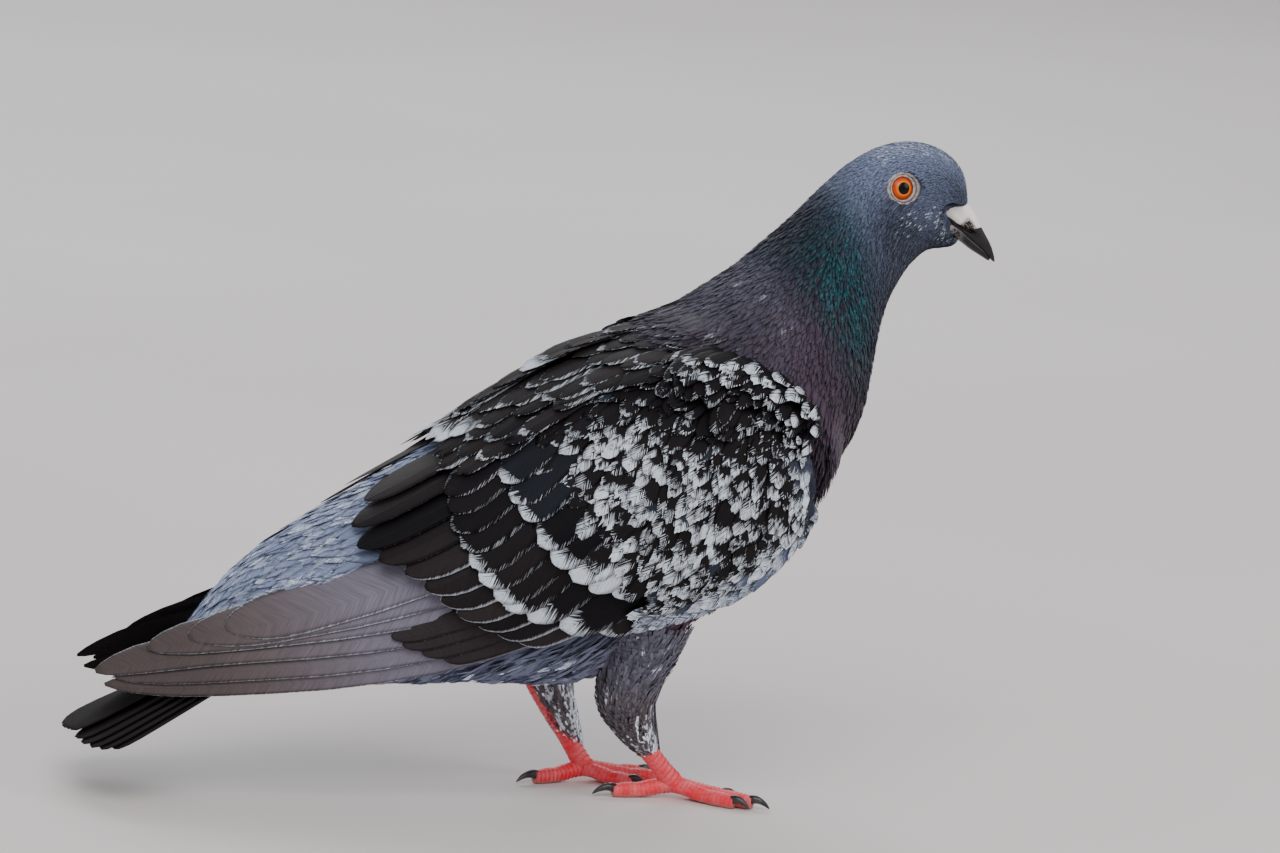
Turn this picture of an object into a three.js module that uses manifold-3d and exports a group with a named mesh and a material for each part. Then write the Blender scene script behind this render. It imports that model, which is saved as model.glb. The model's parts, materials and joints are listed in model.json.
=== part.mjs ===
// A feral pigeon standing, life size, in millimetres: +X forward, +Y to its left, +Z up, floor at Z = 0.
// Head, neck, torso and rump are one lofted form parted by thin cuts. Wings and tail are tiers of overlapping vanes.
import * as THREE from "three";
import Module from "manifold-3d";

const wasm = await Module();
wasm.setup();

// ---- Driving sizes ----
const GAP = 0.3; // clearance between touching nodes
const SIDES = { right: -1, left: 1 };

// Body rails, tail base to bill base: dorsal [x, z], ventral [x, z], half width.
const BODY = [
  { top: [-134, 43], low: [-131, 37], wide: 7 },
  { top: [-121, 61], low: [-114, 38.5], wide: 13 },
  { top: [-104, 75], low: [-94, 40], wide: 19 },
  { top: [-82, 88.3], low: [-69, 41], wide: 25 },
  { top: [-57, 103.5], low: [-42, 41.5], wide: 32 },
  { top: [-36, 116.5], low: [-18, 41], wide: 37 },
  { top: [-14, 129], low: [5, 44], wide: 40 },
  { top: [5, 139.5], low: [22.5, 55], wide: 41 },
  { top: [18, 148], low: [37, 71.5], wide: 39.5 },
  { top: [28, 155], low: [49.5, 87.5], wide: 35 },
  { top: [36, 162.5], low: [59.5, 99.5], wide: 29 },
  { top: [42, 168.5], low: [65.3, 111.5], wide: 24 },
  { top: [47, 174], low: [68, 127], wide: 19.5 },
  { top: [52, 179.5], low: [70.8, 142], wide: 16 },
  { top: [58.3, 185.5], low: [76.3, 153.5], wide: 13 },
  { top: [67, 190.6], low: [81, 159], wide: 11.4 },
  { top: [76.5, 192.5], low: [84.6, 161.6], wide: 10.8 },
  { top: [86, 190.4], low: [88.3, 162.6], wide: 8.8 },
  { top: [92.9, 184.4], low: [91.6, 163], wide: 5.4 },
  { top: [95.3, 175], low: [93.6, 164], wide: 3.2 },
];
const BODY_AROUND = 22;
const BODY_ALONG = 30;
const HEAD_ROWS = 11; // the head's own loft starts at this row, with closer rings
const HEAD_ALONG = 15;
const HEAD_AROUND = 22;
const PART_AT = { rump: 4, neck: 9.95, head: 13.6 }; // stations of the thin cuts

// Wing axis: it starts beside the breast and runs back and down; s is along it, h square to it and up.
const WING_START = [60, 105];
const WING_PITCH = THREE.MathUtils.degToRad(22);
// Arm surface rails at each s: [h, y] of the upper edge, the bulge control and the lower edge.
const ARM = [
  { s: 6, top: [8.5, 30.5], mid: [6, 31.5], low: [3.5, 30.5] },
  { s: 12.5, top: [11, 30], mid: [6, 35], low: [1, 31] },
  { s: 15, top: [20, 27], mid: [12, 44], low: [-4, 31.5] },
  { s: 20, top: [33, 20.5], mid: [25, 51], low: [-9, 33] },
  { s: 30, top: [43.5, 12.5], mid: [34, 60], low: [-16, 35] },
  { s: 46, top: [50.5, 6], mid: [39, 66], low: [-21.5, 37.5] },
  { s: 66, top: [52, 4], mid: [38.5, 68], low: [-22.5, 38.5] },
  { s: 86, top: [49.5, 4], mid: [35.5, 66], low: [-20, 39] },
  { s: 104, top: [46, 5], mid: [31.5, 61], low: [-17.5, 39] },
  { s: 122, top: [42, 7], mid: [27.5, 54], low: [-14.5, 38] },
  { s: 138, top: [38.5, 9], mid: [24, 47], low: [-11, 35] },
  { s: 158, top: [34, 11], mid: [20.5, 38], low: [-6, 32] },
];
// Hand surface rails, which carry the long flight feathers under the arm's and past the rump.
const HAND = [
  { s: 84, top: [26.5, 37], mid: [10, 49], low: [-18, 35.5] },
  { s: 100, top: [27, 33], mid: [10, 46], low: [-16.8, 35] },
  { s: 118, top: [27.5, 27], mid: [10, 42], low: [-14.5, 34.5] },
  { s: 140, top: [27, 19], mid: [10, 37], low: [-11, 32] },
  { s: 160, top: [27.5, 13.5], mid: [10, 31], low: [-6.5, 29.5] },
  { s: 180, top: [27, 10], mid: [12, 24], low: [-1, 25.5] },
  { s: 200, top: [27, 7.5], mid: [15, 18], low: [5, 21] },
  { s: 216, top: [25.5, 6.8], mid: [17, 14.5], low: [10, 16.5] },
  { s: 232, top: [21, 8], mid: [18.5, 10.5], low: [15.5, 11.5] },
];
const WING_CLEAR = 0.8; // how far the body stands clear of the wing's inner face
const EDGE_CLEAR = 1.7; // and of its edges

// Cores that the feathers grow from: stretch along s, face below the surface at each end, thickness at each end.
const ARM_CORE = { from: 8, to: 98, face: [0, -0.8], thick: [5, 7.5] };
const HAND_CORE = { from: 86, to: 122, face: [-0.6, -1.2], thick: [3, 2.6] };
// The hollow the wing lies in reaches to the feather tips.
const ARM_REACH = 158;
const HAND_REACH = 231;
const ARM_HOLLOW = [5, 7.5, 4.3]; // depth at the front, at the core's end and under the tips
const HAND_HOLLOW = 3.8;

// A vane's half width along its length, as [fraction of the length, fraction of the half width].
const LONG_VANE = [
  [0, 0.5],
  [0.4, 0.95],
  [0.8, 1],
  [0.95, 0.62],
  [1, 0.16],
];
const SHORT_VANE = [
  [0, 0.7],
  [0.6, 1],
  [0.92, 0.66],
  [1, 0.16],
];
const VANE_THICK = { root: 0.9, tip: 0.55 };

// Wing feathers, front row last: tips as [s, v], and for each row its length, width, the height of its tips above
// the surface, and how much it climbs along and across (mm per mm), so that each vane clears the next.
const PRIMARIES = {
  tips: [
    [229, 0.75],
    [225, 0.5],
    [229.5, 0.25],
    [208, 0.22],
    [193, 0.22],
    [179, 0.22],
    [165, 0.22],
  ],
  roots: [104, 0.92, -0.11],
  width: 9,
  rise: [230, 0.2, 0.012],
  stack: 0.3,
  roll: 0.2,
};
const SECONDARIES = {
  tips: [
    [117.8, 0.9],
    [127.5, 0.81],
    [134, 0.71],
    [137.5, 0.6],
    [141, 0.48],
    [146, 0.36],
    [149.5, 0.24],
    [147.5, 0.12],
  ],
  roots: [72, 0.86, -0.105],
  width: 12,
  rise: [145, 0.2, 0.05],
  roll: 0.14,
};
const COVERTS = [
  {
    tips: [
      [98, 0.92],
      [111.5, 0.86],
      [119.5, 0.75],
      [123.3, 0.63],
      [124, 0.51],
      [122.5, 0.38],
    ],
    length: 34,
    width: 13,
    rise: [124, 1.5, 0.075],
    roll: 0.1,
  },
  {
    tips: [
      [84, 0.86],
      [94.5, 0.77],
      [102, 0.64],
      [105.5, 0.5],
      [105.5, 0.36],
    ],
    length: 30,
    width: 15,
    rise: [105, 1.6, 0.08],
    roll: 0.08,
  },
  {
    tips: [
      [117, 0.14],
      [98, 0.12],
      [79, 0.14],
    ],
    length: 36,
    width: 14,
    rise: [null, 1.7, 0.06],
    roll: 0.04,
    turn: 4,
  },
];

// Tail: the middle line of its upper face, and its half widths.
const TAIL_BASE = [-88, 58.5];
const TAIL_TIP = [-165, 17.7];
const TAIL_HALF_BASE = 12;
const TAIL_HALF_TIP = 26;
const TAIL_THICK = 4;
const TAIL_CORE = 0.42; // fraction of the tail's length that is solid
// Tail feathers of one side, the middle one first: [y at the tip, length].
const TAIL_VANES = [
  [2.6, 87.5],
  [7.6, 87.5],
  [12.2, 87],
  [16.2, 85.8],
  [19.6, 84],
  [22.2, 81],
];
const TAIL_VANE = { width: 12.6, step: 0.8, root: 0.8 };

// Bill: culmen and mouth-line rails.
const UPPER_BILL = [
  { top: [90.5, 176.5], low: [86.6, 171], wide: 3.2 },
  { top: [95.3, 173.8], low: [91, 167.9], wide: 3.5 },
  { top: [98.3, 170.5], low: [95, 165.1], wide: 3 },
  { top: [101.1, 166.4], low: [99, 162.3], wide: 2.4 },
  { top: [103.6, 162.4], low: [102.5, 159.6], wide: 1.7 },
  { top: [105.3, 158.2], low: [105, 157.3], wide: 0.6 },
];
const LOWER_BILL = [
  { top: [88.4, 170.2], low: [89.3, 165.6], wide: 3 },
  { top: [93.2, 167.4], low: [93.6, 163.6], wide: 2.9 },
  { top: [97, 164.6], low: [97.2, 161.2], wide: 2.4 },
  { top: [101, 161.4], low: [101.1, 159], wide: 1.8 },
  { top: [103.6, 158.9], low: [103.4, 157.7], wide: 0.9 },
];
const CERE = { at: [92.9, 171.2], half: [5, 2.3, 2.5], apart: 2, pitch: 28 };

// Eye: centre of the ball beside the head, how far its axis turns up and forward, and its ring of bare skin.
const EYE = {
  x: 71.6,
  y: 5.9,
  z: 180.6,
  up: 11,
  forward: 7,
  ball: 4.75,
  socket: 5.1,
  ringIn: 3.1,
  ringOut: 4.8,
};

// Legs: hock and foot of each side, with toe bearings in degrees from +X, positive to the left.
const LEGS = {
  right: {
    coat: [
      [-1, -21.5, 56, 13.5],
      [-2.6, -21.5, 44.5, 10.4],
      [-4.9, -21, 36.6, 8.8],
      [-5.3, -20, 30.6, 8],
      [-2.4, -18, 24.2, 6],
      [1.2, -16.5, 18.9, 4.5],
      [4.4, -15.2, 14.8, 3],
    ],
    hock: [-9.5, -19.5, 29.5],
    foot: [13.2, -13],
    toes: [
      { bearing: 178, length: 17.5 },
      { bearing: -22, length: 15.5 },
      { bearing: -38, length: 24.5 },
      { bearing: -47, length: 20.5 },
    ],
  },
  left: {
    coat: [
      [-15, 18.5, 54, 13],
      [-18, 17.5, 44, 10],
      [-18.5, 16.5, 36, 8.2],
      [-17.5, 15.5, 29.5, 6.8],
      [-15.6, 14, 23.5, 5.4],
      [-13, 12.2, 17.2, 4.2],
      [-10.6, 10.8, 12, 3],
    ],
    hock: [-23, 15.5, 31],
    foot: [-7.5, 8.5],
    toes: [
      { bearing: 194, length: 16 },
      { bearing: -38, length: 15.5 },
      { bearing: -12, length: 23 },
      { bearing: 10, length: 19 },
    ],
  },
};
const TOES = [
  { radius: 2.15, claw: 7 },
  { radius: 2, claw: 5.5 },
  { radius: 2.25, claw: 6.5 },
  { radius: 2.1, claw: 6 },
];
const FOOT_HIGH = 4.6;

const MATERIALS = {
  feather_dark: { color: 0x2b2427, roughness: 0.75 },
  feather_neck: { color: 0x2f3a48, roughness: 0.55 },
  feather_head: { color: 0x4f5b6b, roughness: 0.8 },
  feather_rump: { color: 0x9fb0c2, roughness: 0.85 },
  feather_flight: { color: 0x574b49, roughness: 0.7 },
  feather_leg: { color: 0x77767a, roughness: 0.9 },
  bill: { color: 0x1d1c22, roughness: 0.35 },
  cere: { color: 0xd9d2cb, roughness: 0.7 },
  eye: { color: 0xd9480f, roughness: 0.1 },
  eye_ring: { color: 0xb9b2ad, roughness: 0.6 },
  skin_red: { color: 0xc93038, roughness: 0.5 },
  claw: { color: 0x2a2a2e, roughness: 0.4 },
};

// ---- Curves and solids ----

// Rows of equal-length number lists, run through smoothly (Catmull-Rom); t runs from 0 to the last row.
function spline(rows) {
  const row = (i) => rows[Math.min(rows.length - 1, Math.max(0, i))];
  return (t) => {
    const k = Math.min(rows.length - 2, Math.max(0, Math.floor(t)));
    const u = t - k;
    const [a, b, c, d] = [row(k - 1), row(k), row(k + 1), row(k + 2)];
    return b.map((_, i) => {
      const slope = c[i] - a[i];
      const curve = 2 * a[i] - 5 * b[i] + 4 * c[i] - d[i];
      const twist = 3 * (b[i] - c[i]) + d[i] - a[i];
      return b[i] + 0.5 * u * (slope + u * (curve + u * twist));
    });
  };
}

// A manifold from points and triangles, turned to face out.
function solidOf(points, triangles) {
  const make = (flat) =>
    new wasm.Manifold(
      new wasm.Mesh({
        numProp: 3,
        vertProperties: new Float32Array(points.flat()),
        triVerts: new Uint32Array(flat),
      }),
    );
  const solid = make(triangles.flat());
  return solid.volume() < 0 ? make(triangles.map(([a, b, c]) => [a, c, b]).flat()) : solid;
}

// Rings of points joined one to the next. Each end is closed by a fan about its middle or, for a ring that runs out
// along one face and back along the other, by a strip between the two.
function ringSolid(rings, strip = false) {
  const around = rings[0].length;
  const points = rings.flat();
  const triangles = [];
  for (let i = 0; i + 1 < rings.length; i++) {
    for (let j = 0; j < around; j++) {
      const a = i * around + j;
      const b = i * around + ((j + 1) % around);
      triangles.push([a, b, a + around], [b, b + around, a + around]);
    }
  }
  const face = (a, b, c, flip) => triangles.push(flip ? [a, c, b] : [a, b, c]);
  const close = (ring, first, flip) => {
    if (strip) {
      const last = first + around - 1;
      for (let j = 0; j + 1 < around / 2; j++) {
        face(first + j, first + j + 1, last - j - 1, flip);
        face(first + j, last - j - 1, last - j, flip);
      }
      return;
    }
    const middle = [0, 1, 2].map((k) => ring.reduce((sum, p) => sum + p[k], 0) / around);
    points.push(middle);
    for (let j = 0; j < around; j++) {
      face(first + j, first + ((j + 1) % around), points.length - 1, flip);
    }
  };
  close(rings[0], 0, true);
  close(rings[rings.length - 1], (rings.length - 1) * around, false);
  return solidOf(points, triangles);
}

// Oval sections between an upper and a lower rail in the middle plane, grown outwards by some amount.
function railLoft(rows, along, around, grow = 0) {
  const at = spline(rows.map((r) => [...r.top, ...r.low, r.wide]));
  const rings = [];
  for (let i = 0; i <= along; i++) {
    const [tx, tz, lx, lz, wide] = at((i / along) * (rows.length - 1));
    const high = Math.hypot(tx - lx, tz - lz) / 2;
    const up = [(tx - lx) / 2 / high, (tz - lz) / 2 / high];
    const shift = i === 0 ? -grow : i === along ? grow : 0;
    const middle = [(tx + lx) / 2 + up[1] * shift, (tz + lz) / 2 - up[0] * shift];
    const ring = [];
    for (let j = 0; j < around; j++) {
      const angle = (2 * Math.PI * j) / around;
      const rise = Math.cos(angle) * (high + grow);
      ring.push([middle[0] + up[0] * rise, Math.sin(angle) * (wide + grow), middle[1] + up[1] * rise]);
    }
    rings.push(ring);
  }
  return ringSolid(rings);
}

// A tube through centres with a radius at each; flat squashes it across its own up direction.
function tube(centres, radii, { around = 10, grow = 0, steps = 8, flat = 1 } = {}) {
  const at = spline(centres.map((c, i) => [...c, radii[i]]));
  const last = centres.length - 1;
  const rings = [];
  for (let i = 0; i <= steps; i++) {
    const t = (i / steps) * last;
    const [x, y, z, radius] = at(t);
    const ahead = at(Math.min(last, t + 0.01));
    const behind = at(Math.max(0, t - 0.01));
    const along = new THREE.Vector3(...[0, 1, 2].map((k) => ahead[k] - behind[k])).normalize();
    const side = new THREE.Vector3(-along.y, along.x, 0);
    if (side.length() < 0.05) side.set(0, 1, 0);
    side.normalize();
    const up = new THREE.Vector3().crossVectors(along, side);
    const shift = i === 0 ? -grow : i === steps ? grow : 0;
    const ring = [];
    for (let j = 0; j < around; j++) {
      const angle = (2 * Math.PI * j) / around;
      const p = new THREE.Vector3(x, y, z)
        .addScaledVector(along, shift)
        .addScaledVector(side, Math.cos(angle) * (radius + grow))
        .addScaledVector(up, Math.sin(angle) * (radius + grow) * flat);
      ring.push(p.toArray());
    }
    rings.push(ring);
  }
  return ringSolid(rings);
}

function geometrySolid(geometry) {
  const position = geometry.getAttribute("position");
  const keys = new Map();
  const points = [];
  const index = [];
  for (let i = 0; i < position.count; i++) {
    const p = [position.getX(i), position.getY(i), position.getZ(i)];
    const key = p.map((v) => Math.round(v * 1e4)).join();
    if (!keys.has(key)) keys.set(key, points.push(p) - 1);
    index.push(keys.get(key));
  }
  const order = geometry.index ? [...geometry.index.array] : index.map((_, i) => i);
  const triangles = [];
  for (let i = 0; i < order.length; i += 3) {
    const t = [index[order[i]], index[order[i + 1]], index[order[i + 2]]];
    if (new Set(t).size === 3) triangles.push(t);
  }
  return solidOf(points, triangles);
}

const union = (solids) => wasm.Manifold.union(solids);

// The largest closed surface of a solid, with no sealed hollow left in it.
function largest(solid) {
  const pieces = solid.decompose().sort((a, b) => b.volume() - a.volume());
  return pieces[0];
}

// ---- Wing surfaces ----
const WING_BACK = [-Math.cos(WING_PITCH), -Math.sin(WING_PITCH)];
const WING_UP = [-Math.sin(WING_PITCH), Math.cos(WING_PITCH)];

// The point of a rail surface at s and v (0 upper edge, 1 lower edge), lifted out along its normal.
function surfaceOf(rows) {
  const at = spline(rows.map((r) => [r.s, ...r.top, ...r.mid, ...r.low]));
  const rowAt = (s) => {
    let low = 0;
    let high = rows.length - 1;
    for (let i = 0; i < 30; i++) {
      const middle = (low + high) / 2;
      if (at(middle)[0] < s) low = middle;
      else high = middle;
    }
    return at(low);
  };
  const flat = (s, v) => {
    const [, th, ty, mh, my, lh, ly] = rowAt(s);
    const [a, b, c] = [(1 - v) ** 2, 2 * v * (1 - v), v ** 2];
    const h = a * th + b * mh + c * lh;
    const y = a * ty + b * my + c * ly;
    return new THREE.Vector3(
      WING_START[0] + s * WING_BACK[0] + h * WING_UP[0],
      y,
      WING_START[1] + s * WING_BACK[1] + h * WING_UP[1],
    );
  };
  const normal = (s, v) => {
    const step = 0.02;
    const ds = flat(s + 0.5, v).sub(flat(s - 0.5, v));
    const dv = flat(s, v + step).sub(flat(s, v - step));
    return dv.cross(ds).normalize();
  };
  return (s, v, lift) => flat(s, v).addScaledVector(normal(s, v), lift);
}

const armAt = surfaceOf(ARM);
const handAt = surfaceOf(HAND);

// A slab on a wing surface from s0 to s1: its outer face at lift(s), its inner face at depth(s) below the surface,
// thinner at both edges. A grown one is the hollow for such a slab, as deep at its edges as in the middle.
function slab(surface, s0, s1, lift, depth, { grow = 0, steps = 16, across = 6 } = {}) {
  const rings = [];
  for (let i = 0; i <= steps; i++) {
    const s = s0 + ((s1 - s0) * i) / steps;
    const shift = i === 0 ? -grow : i === steps ? grow : 0;
    const at = (v, lift) => {
      const p = surface(s, v, lift);
      return [p.x + shift * WING_BACK[0], p.y, p.z + shift * WING_BACK[1]];
    };
    const [a, b, c] = [0, 0.5, 1].map((v) => surface(s, v, 0));
    const spread = grow / (a.distanceTo(b) + b.distanceTo(c));
    const vAt = (j) => -spread + (1 + 2 * spread) * (j / across);
    const ring = [];
    for (let j = 0; j <= across; j++) ring.push(at(vAt(j), lift(s)));
    for (let j = across; j >= 0; j--) {
      const edge = grow > 0 ? 1 : Math.sin((Math.PI * (j + 0.6)) / (across + 1.2));
      ring.push(at(vAt(j), -depth(s) * (0.35 + 0.65 * edge) - Math.min(grow, WING_CLEAR)));
    }
    rings.push(ring);
  }
  return ringSolid(rings, true);
}

// A value that runs evenly from one end of a core to the other.
const ramp = (core, [a, b]) => (s) =>
  a + (b - a) * THREE.MathUtils.clamp((s - core.from) / (core.to - core.from), 0, 1);

// Millimetres per unit of v where a feather lies.
const widthAt = (surface, s, v) => surface(s, v + 0.01, 0).distanceTo(surface(s, v - 0.01, 0)) / 0.02;

// A feather laid on a surface. Its centre line runs from root to tip. Its height climbs along s, from the row's own
// station or from its own tip, and it rolls so that its lower edge stands up and its upper edge tucks under the
// feather above.
function vane(surface, root, tip, { width, rise, roll }, outline, step = 0) {
  const [at, height, climb] = [rise[0] ?? tip[0], rise[1] + step, rise[2]];
  const middle = [(root[0] + tip[0]) / 2, (root[1] + tip[1]) / 2];
  const run = new THREE.Vector2(tip[0] - root[0], (tip[1] - root[1]) * widthAt(surface, ...middle));
  run.normalize();
  const rings = outline.map(([t, w]) => {
    const s = root[0] + (tip[0] - root[0]) * t;
    const v = root[1] + (tip[1] - root[1]) * t;
    const scale = widthAt(surface, s, v);
    const thick = THREE.MathUtils.lerp(VANE_THICK.root, VANE_THICK.tip, t);
    const point = (across, under) => {
      const x = (across * w * width) / 2;
      const lift = height + climb * (s - run.y * x - at) + roll * x;
      return surface(s - run.y * x, v + (run.x * x) / scale, lift - under).toArray();
    };
    return [point(-1, 0), point(1, 0), point(1, thick), point(-1, thick)];
  });
  return ringSolid(rings, true);
}

// The way the small feathers point, in degrees from the wing's axis towards its lower edge.
const leanAt = (s, v) => THREE.MathUtils.clamp(42 - 0.36 * (s - 25), 0, 40) + 10 * (v - 0.5);

function covertRow(row) {
  return row.tips.map(([s, v]) => {
    const scale = widthAt(armAt, s, v);
    const lean = THREE.MathUtils.degToRad(row.turn ?? leanAt(s - row.length / 2, v));
    const root = [s - row.length * Math.cos(lean), v - (row.length * Math.sin(lean)) / scale];
    return vane(armAt, root, [s, v], row, SHORT_VANE);
  });
}

function longRow(surface, row) {
  const [s, v, step] = row.roots;
  return row.tips.map((tip, i) => {
    const root = [s, v + step * i];
    return vane(surface, root, tip, row, LONG_VANE, (row.stack ?? 0) * i);
  });
}

// ---- Body ----
const bodyLoft = railLoft(BODY, BODY_ALONG, BODY_AROUND);
const headLoft = railLoft(BODY.slice(HEAD_ROWS), HEAD_ALONG, HEAD_AROUND);
const bodyGrown = railLoft(BODY, BODY_ALONG, BODY_AROUND, GAP);

// The cutting plane through a station of the rails, as its normal towards the head and its offset.
function stationPlane(t) {
  const [tx, tz, lx, lz] = spline(BODY.map((r) => [...r.top, ...r.low]))(t);
  const normal = new THREE.Vector3(tz - lz, 0, lx - tx).normalize();
  return { normal: normal.toArray(), offset: normal.x * tx + normal.z * tz };
}

function between(solid, low, high) {
  let piece = solid;
  if (low !== null) {
    const { normal, offset } = stationPlane(low);
    piece = piece.trimByPlane(normal, offset + GAP / 2);
  }
  if (high !== null) {
    const { normal, offset } = stationPlane(high);
    piece = piece.trimByPlane(normal.map((n) => -n), -offset + GAP / 2);
  }
  return piece;
}

const mirrored = (solid) => solid.mirror([0, 1, 0]);
const bothSides = (solid) => union([solid, mirrored(solid)]);

// The hollow opens outwards only where the wing stands clear of the shoulder.
const outside = (s) => THREE.MathUtils.clamp(0.7 + (s - 34) * 0.3, 0.7, 14);
const armDepth = (s) => {
  const [front, back, tips] = ARM_HOLLOW;
  return s < ARM_CORE.to + 5 ? ramp(ARM_CORE, [front, back])(s) : tips;
};
const armCut = slab(armAt, ARM_CORE.from, ARM_REACH, outside, armDepth, { grow: EDGE_CLEAR, steps: 15 });
const handCut = slab(handAt, HAND_CORE.from, HAND_REACH, outside, () => HAND_HOLLOW, {
  grow: WING_CLEAR,
  steps: 10,
});
const wingCut = bothSides(union([armCut, handCut]));

// ---- Wings ----
function wing() {
  const { from, to, face, thick } = ARM_CORE;
  const arm = slab(armAt, from, to, ramp(ARM_CORE, face), ramp(ARM_CORE, thick), { steps: 9 });
  const hand = slab(
    handAt,
    HAND_CORE.from,
    HAND_CORE.to,
    ramp(HAND_CORE, HAND_CORE.face),
    ramp(HAND_CORE, HAND_CORE.thick),
    { steps: 3 },
  );
  const feathers = [
    ...longRow(handAt, PRIMARIES),
    ...longRow(armAt, SECONDARIES),
    ...COVERTS.flatMap((row) => covertRow(row)),
  ];
  return largest(union([arm, hand, ...feathers]));
}

// Room for the tips of both wings where they pass the tail.
const tipRoom = bothSides(
  slab(handAt, 150, HAND_REACH, () => 3, () => 2.2, { grow: WING_CLEAR, steps: 6 }),
);

// ---- Tail ----
const tailAlong = new THREE.Vector3(TAIL_TIP[0] - TAIL_BASE[0], 0, TAIL_TIP[1] - TAIL_BASE[1]);
const TAIL_LENGTH = tailAlong.length();
tailAlong.normalize();
const tailUp = new THREE.Vector3(tailAlong.z, 0, -tailAlong.x);
if (tailUp.z < 0) tailUp.negate();

const tailPoint = (d, y, rise) =>
  new THREE.Vector3(TAIL_BASE[0], y, TAIL_BASE[1])
    .addScaledVector(tailAlong, d)
    .addScaledVector(tailUp, rise);

// The solid root of the tail, with both edges drooping.
function tailCore() {
  const rings = [];
  for (let i = 0; i <= 4; i++) {
    const t = (TAIL_CORE * i) / 4;
    const half = THREE.MathUtils.lerp(TAIL_HALF_BASE, TAIL_HALF_TIP, t) - 1.5;
    const ring = [];
    for (let j = 0; j < 10; j++) {
      const angle = (2 * Math.PI * (j + 0.5)) / 10;
      const y = half * Math.cos(angle);
      const rise = (TAIL_THICK / 2) * (Math.sin(angle) - 1) - 3.2 * (y / half) ** 2;
      ring.push(tailPoint(TAIL_LENGTH * t, y, rise).toArray());
    }
    rings.push(ring);
  }
  return ringSolid(rings);
}

// The hollow in the rump that the tail stands in.
function tailHollow() {
  const rings = [-1, TAIL_LENGTH + 1].map((d) => {
    const half = THREE.MathUtils.lerp(TAIL_HALF_BASE, TAIL_HALF_TIP, d / TAIL_LENGTH) + 1;
    const drop = TAIL_VANE.step * TAIL_VANES.length;
    const low = -drop - VANE_THICK.root - 0.6;
    return [
      tailPoint(d, -half, -drop + 0.6).toArray(),
      tailPoint(d, -9.3, 0.9).toArray(),
      tailPoint(d, 9.3, 0.9).toArray(),
      tailPoint(d, half, -drop + 0.6).toArray(),
      tailPoint(d, half, low - 1.3).toArray(),
      tailPoint(d, -half, low - 1.3).toArray(),
    ];
  });
  return ringSolid(rings);
}

// One tail feather: a flat vane from near the middle line to its own place in the fan, layer steps below the top.
function tailVane(side, i, layer) {
  const [tipY, length] = TAIL_VANES[i];
  const { width, step, root } = TAIL_VANE;
  const rings = LONG_VANE.map(([t, w]) => {
    const middle = THREE.MathUtils.lerp(root * (i + 1), tipY, t);
    const half = (w * width) / 2;
    const rise = -step * layer;
    const top = (across) => tailPoint(length * t, side * (middle + across * half), rise).toArray();
    const thick = THREE.MathUtils.lerp(VANE_THICK.root, VANE_THICK.tip, t);
    const low = (across) =>
      tailPoint(length * t, side * (middle + across * half), rise - thick).toArray();
    return [top(-1), top(1), low(1), low(-1)];
  });
  return ringSolid(rings, true);
}

function tail() {
  const vanes = TAIL_VANES.flatMap((_, i) => [tailVane(-1, i, i === 0 ? 0 : i + 1), tailVane(1, i, i + 1)]);
  return largest(union([tailCore(), ...vanes]).subtract(tipRoom));
}

// ---- Head ----
// Turns a form made about the origin, looking along +Y, into the eye of one side.
function atEye(side, solid) {
  const turned = solid.rotate([EYE.up, 0, -EYE.forward]).translate([EYE.x, EYE.y, EYE.z]);
  return side < 0 ? mirrored(turned) : turned;
}

// A lathe profile of [radius, distance out from the ball's centre], turned about the eye's own axis.
const eyeLathe = (profile) =>
  geometrySolid(
    new THREE.LatheGeometry(
      profile.map(([r, out]) => new THREE.Vector2(r, out)),
      16,
    ),
  );

const eyeBall = (radius) => geometrySolid(new THREE.SphereGeometry(radius, 14, 10)).rotate([90, 0, 0]);
const eyeRing = () =>
  eyeLathe([
    [EYE.ringIn, 3.95],
    [EYE.ringIn + 0.1, 4.35],
    [EYE.ringIn + 0.8, 4.6],
    [EYE.ringOut, 4.1],
    [EYE.ringOut, 1.7],
    [EYE.ringIn + 1, 3.05],
    [EYE.ringIn, 3.95],
  ]);
const eyeSocket = () =>
  eyeLathe([
    [0, -5.1],
    [4, -4.4],
    [EYE.socket, -2],
    [EYE.socket, 9],
    [0, 9],
  ]);

function cereSolid(grow) {
  const lobe = (y) =>
    geometrySolid(new THREE.SphereGeometry(1, 12, 8))
      .scale(CERE.half.map((r) => r + grow))
      .rotate([0, CERE.pitch, 0])
      .translate([CERE.at[0], y, CERE.at[1]]);
  return union([lobe(CERE.apart), lobe(-CERE.apart)]);
}

const NOSTRIL = { at: [94.2, 3.3, 167.7], half: [3.3, 1.2, 0.45], pitch: 19 };
const GAPE = { at: [86.6, 6.6, 171], half: [2.7, 3.2, 0.35], pitch: 36 };

// A thin slit on each side, for the nostrils under the cere and for the corners of the mouth.
const slits = ({ at, half, pitch }) =>
  bothSides(
    geometrySolid(new THREE.SphereGeometry(1, 8, 6))
      .scale(half)
      .rotate([0, pitch, 0])
      .translate(at),
  );

// Open the face beside the cere, where the feathers stop.
function loreCuts() {
  const cut = (side) =>
    geometrySolid(new THREE.SphereGeometry(1, 14, 9))
      .scale([8.4, 8, 3.7])
      .rotate([0, CERE.pitch, 0])
      .translate([CERE.at[0] - 0.6, side * 10.6, CERE.at[1] - 0.4]);
  return union([cut(-1), cut(1)]);
}

const upperBill = (grow) => railLoft(UPPER_BILL, 10, 12, grow);
const lowerBill = (grow) => railLoft(LOWER_BILL, 7, 10, grow);

// ---- Legs ----
function thigh(leg, grow) {
  const centres = leg.coat.map(([x, y, z]) => [x, y, z]);
  return tube(centres, leg.coat.map((c) => c[3]), { around: 12, grow, steps: 8 });
}

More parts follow.
